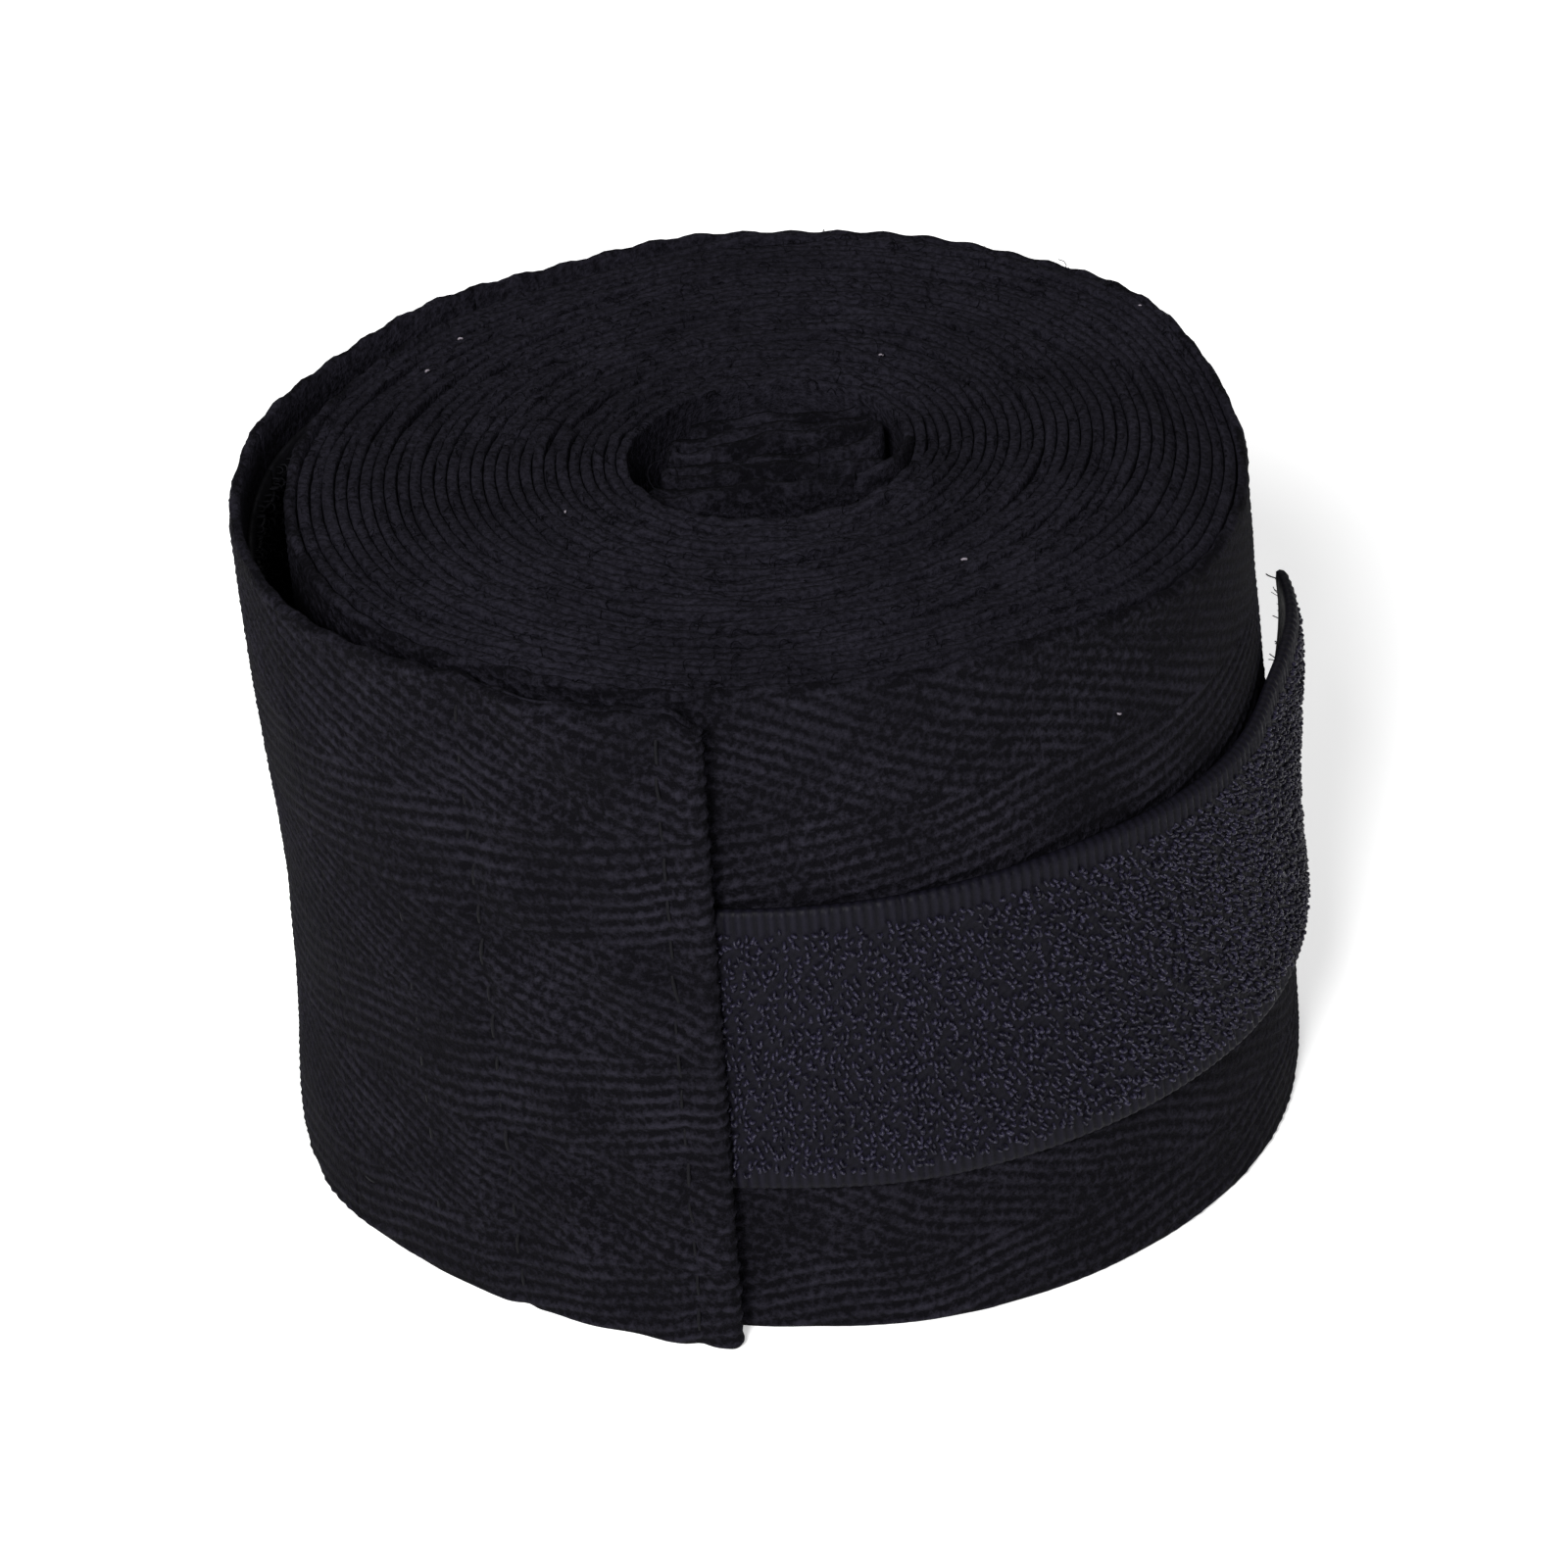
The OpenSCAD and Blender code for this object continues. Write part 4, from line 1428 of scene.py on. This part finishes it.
class HANDWRAP_OT_thumb_loop(bpy.types.Operator):
    """The thumb loop, flattened and folded into the core, and its bar tack"""

    bl_idname = "handwrap.thumb_loop"
    bl_label = "Thumb loop"

    def execute(self, context):
        tape = 0.58 * MM
        slit = 0.14 * MM
        layer = (tape + slit) / 2
        folded = 1.32 * MM
        air = 0.3 * MM
        step = folded + air
        middle_y = (LOOP_LOW.y + LOOP_HIGH.y) / 2
        half_width = (LOOP_HIGH.x - LOOP_LOW.x) / 2 - step / 2 - 0.5 * MM
        one_way = to_and_fro(3, middle_y - step, step, [half_width] * 3, 1)
        _, path, normal = walk(one_way, 0.4 * MM)
        there = path + normal * layer
        back = (path - normal * layer)[::-1]
        ahead = path[-1] - path[-2]
        ahead /= np.linalg.norm(ahead)
        cap = [path[-1] + layer * (normal[-1] * math.cos(a) + ahead * math.sin(a))
               for a in np.linspace(0.3, math.pi - 0.3, 8)]
        along, line, side = walk(np.concatenate([there, cap, back]), 0.35 * MM)

        def place(index, offset, up):
            flat = line[index] + side[index] * offset[..., None]
            return np.concatenate([flat, np.broadcast_to(up, offset.shape)[..., None]], -1)

        loop = strip_piece("thumb_loop_tape", place, along, LOOP_LOW.z, LOOP_HIGH.z, tape, tape_cotton(),
                           step=0.6 * MM)
        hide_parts("thumb_loop")
        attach(loop, "roll")
        tack_low, tack_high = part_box("thumb_loop_tack")
        bars = 11
        heights = np.linspace(tack_low.z, tack_high.z, bars)
        across = np.where(np.arange(bars) % 2 == 0, tack_low.x + 0.3 * MM, tack_high.x - 0.3 * MM)
        points = np.stack([across, np.full(bars, tack_low.y), heights], -1)
        points = np.concatenate([points, points + [0, tack_high.y - tack_low.y, 0]])
        out = np.repeat([[0, -1.0, 0], [0, 1.0, 0]], bars, 0)
        aim = np.tile([1.0, 0, 0.35], (2 * bars, 1))
        tack = scatter("thumb_loop_bar_tack", stitch_shape(), sewing_thread(), points, out, aim)
        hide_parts("thumb_loop_tack")
        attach(tack, "roll")
        return {"FINISHED"}


def standing_points(spots):
    """Points on the object from (angle, distance from the axis, height), facing up or outwards."""
    angle, radius, up = np.array(spots, float).T
    points, out, ahead = surface_frame(angle, radius, up)
    flat = up > WIDTH - 1 * MM
    out[flat] = (0, 0, 1)
    return points, out, ahead


class HANDWRAP_OT_loose_fibres(bpy.types.Operator):
    """Fuzz and loose threads on the roll, and specks of lint"""

    bl_idname = "handwrap.loose_fibres"
    bl_label = "Loose fibres"

    def execute(self, context):
        rng = np.random.default_rng(53)
        count = 3600
        nearest, farthest = 8.5 * MM, 31.5 * MM
        radius = np.sqrt(rng.uniform(nearest ** 2, farthest ** 2, count))
        angle = rng.uniform(0, 360, count)
        up = WIDTH + rng.uniform(-0.5, -0.1, count) * MM
        points, _, ahead = surface_frame(angle, radius, up)
        out = np.array([0, 0, 1.0]) + 0.9 * rng.normal(0, 1, (count, 3))
        out[:, 2] = np.abs(out[:, 2]) + 0.15
        aim = ahead + 0.7 * rng.normal(0, 1, (count, 3))
        fibre = swept_shape((0, 0, -0.1 * MM), (0, 0, 0.45 * MM), (0.4 * MM, 0, 0.75 * MM),
                            (0.8 * MM, 0, 0.25 * MM), 0.028 * MM, 3, 4)
        fuzz = scatter("webbing_fuzz", fibre, webbing_cotton(), points, out, aim, (0.4, 1.3))
        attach(fuzz, "roll")

        long_thread = swept_shape((0, 0, -0.3 * MM), (2.5 * MM, 0.8 * MM, 1.4 * MM),
                                  (8 * MM, -1.6 * MM, 1.3 * MM), (11.4 * MM, 0, -1.6 * MM),
                                  0.045 * MM, 5, 28)
        curl = swept_shape((0, 0, -0.4 * MM), (1.7 * MM, 2.2 * MM, 1.6 * MM),
                           (2.6 * MM, -2.0 * MM, 1.8 * MM), (0.6 * MM, -1.2 * MM, 0.1 * MM),
                           0.05 * MM, 5, 20)
        for name, shape, spot, aim in (
            ("webbing_long_thread", long_thread, (159, 17.4 * MM, WIDTH), (0.65, -0.76, 0)),
            ("webbing_curled_thread", curl, (320, 2.2 * MM, WIDTH - 1.5 * MM), (0.4, 0.9, 0)),
            ("webbing_core_thread", curl, (215, 8.6 * MM, WIDTH - 0.2 * MM), (-0.3, 0.95, 0)),
        ):
            points, _, _ = surface_frame(*spot)
            thread = scatter(name, shape, webbing_cotton(), points, [[0, 0, 1.0]], [aim])
            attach(thread, "roll")

        top = WIDTH + 0.1 * MM
        spots = [(150, 27.8 * MM, top), (140, 29.0 * MM, top), (57, 14.3 * MM, top), (209, 15.3 * MM, top),
                 (307, 21.4 * MM, top), (33, 31.2 * MM, top), (312, rest_radius(312) + 0.8 * MM, 43 * MM)]
        points, out, ahead = standing_points(spots)
        speck = swept_shape((-0.14 * MM, 0, 0), (-0.05 * MM, 0.07 * MM, 0.07 * MM),
                            (0.05 * MM, -0.07 * MM, 0.1 * MM), (0.16 * MM, 0.03 * MM, 0.03 * MM),
                            0.075 * MM, 6, 5)
        aim = ahead + 0.6 * rng.normal(0, 1, ahead.shape)
        lint = scatter("lint_specks", speck, pale_lint(), points, out, aim)
        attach(lint, "roll")
        return {"FINISHED"}


class HANDWRAP_OT_strap_frays(bpy.types.Operator):
    """Frayed threads at the strap's cut end"""

    bl_idname = "handwrap.strap_frays"
    bl_label = "Strap frays"

    def execute(self, context):
        rng = np.random.default_rng(67)
        zone = strap_zones()[2]
        groups = (
            ("strap_tip_frays", strap_weave(), 90,
             STRAP_LOW.z + 0.4 * MM, STRAP_HIGH.z - 0.2 * MM, 0.05 * MM),
            ("strap_tip_pale_frays", pale_lint(), 16,
             STRAP_HIGH.z - 3.4 * MM, STRAP_HIGH.z - 0.8 * MM, 0.03 * MM),
        )
        for name, material, count, low, high, radius in groups:
            up = rng.uniform(low, high, count)
            angle = np.full(count, STRAP_END - 0.35)
            stand = rest_radius(angle) + sizes().strap_thickness * rng.uniform(0.25, 0.75, count)
            points, out, ahead = surface_frame(angle, stand + strap_lift(angle, up), up)
            aim = ahead + 0.35 * rng.normal(0, 1, ahead.shape)
            fray = swept_shape((-0.2 * MM, 0, 0), (0.4 * MM, 0.1 * MM, 0.05 * MM),
                               (0.8 * MM, -0.15 * MM, 0.2 * MM), (1.1 * MM, 0.1 * MM, -0.1 * MM),
                               radius, 4, 5)
            lean = out + 0.5 * rng.normal(0, 1, out.shape)
            thing = scatter(name, fray, material, points, lean, aim, (0.45, 1.25))
            bend_zone(thing, zone)
        return {"FINISHED"}


OPERATORS = (
    HANDWRAP_OT_stage,
    HANDWRAP_OT_wound_turns,
    HANDWRAP_OT_outer_turn,
    HANDWRAP_OT_tail,
    HANDWRAP_OT_hem,
    HANDWRAP_OT_hem_seams,
    HANDWRAP_OT_strap,
    HANDWRAP_OT_hooks,
    HANDWRAP_OT_loop_patch,
    HANDWRAP_OT_core,
    HANDWRAP_OT_thumb_loop,
    HANDWRAP_OT_loose_fibres,
    HANDWRAP_OT_strap_frays,
)


class HANDWRAP_PT_panel(bpy.types.Panel):
    """Sizes, colours and steps of the hand wrap"""

    bl_label = "Hand wrap"
    bl_idname = "HANDWRAP_PT_panel"
    bl_space_type = "VIEW_3D"
    bl_region_type = "UI"
    bl_category = "Hand wrap"

    def draw(self, context):
        for group in (context.scene.hand_wrap_sizes, context.scene.hand_wrap_colours):
            for key in group.bl_rna.properties.keys():
                if key not in ("rna_type", "name"):
                    self.layout.prop(group, key)
        for operator in OPERATORS:
            self.layout.operator(operator.bl_idname)


CLASSES = (HandWrapSizes, HandWrapColours, *OPERATORS, HANDWRAP_PT_panel)


def register():
    for kind in CLASSES:
        bpy.utils.register_class(kind)
    bpy.types.Scene.hand_wrap_sizes = PointerProperty(type=HandWrapSizes)
    bpy.types.Scene.hand_wrap_colours = PointerProperty(type=HandWrapColours)


def unregister():
    del bpy.types.Scene.hand_wrap_sizes
    del bpy.types.Scene.hand_wrap_colours
    for kind in reversed(CLASSES):
        bpy.utils.unregister_class(kind)


def main():
    register()
    for operator in OPERATORS:
        group, name = operator.bl_idname.split(".")
        getattr(getattr(bpy.ops, group), name)()


if __name__ == "__main__":
    main()
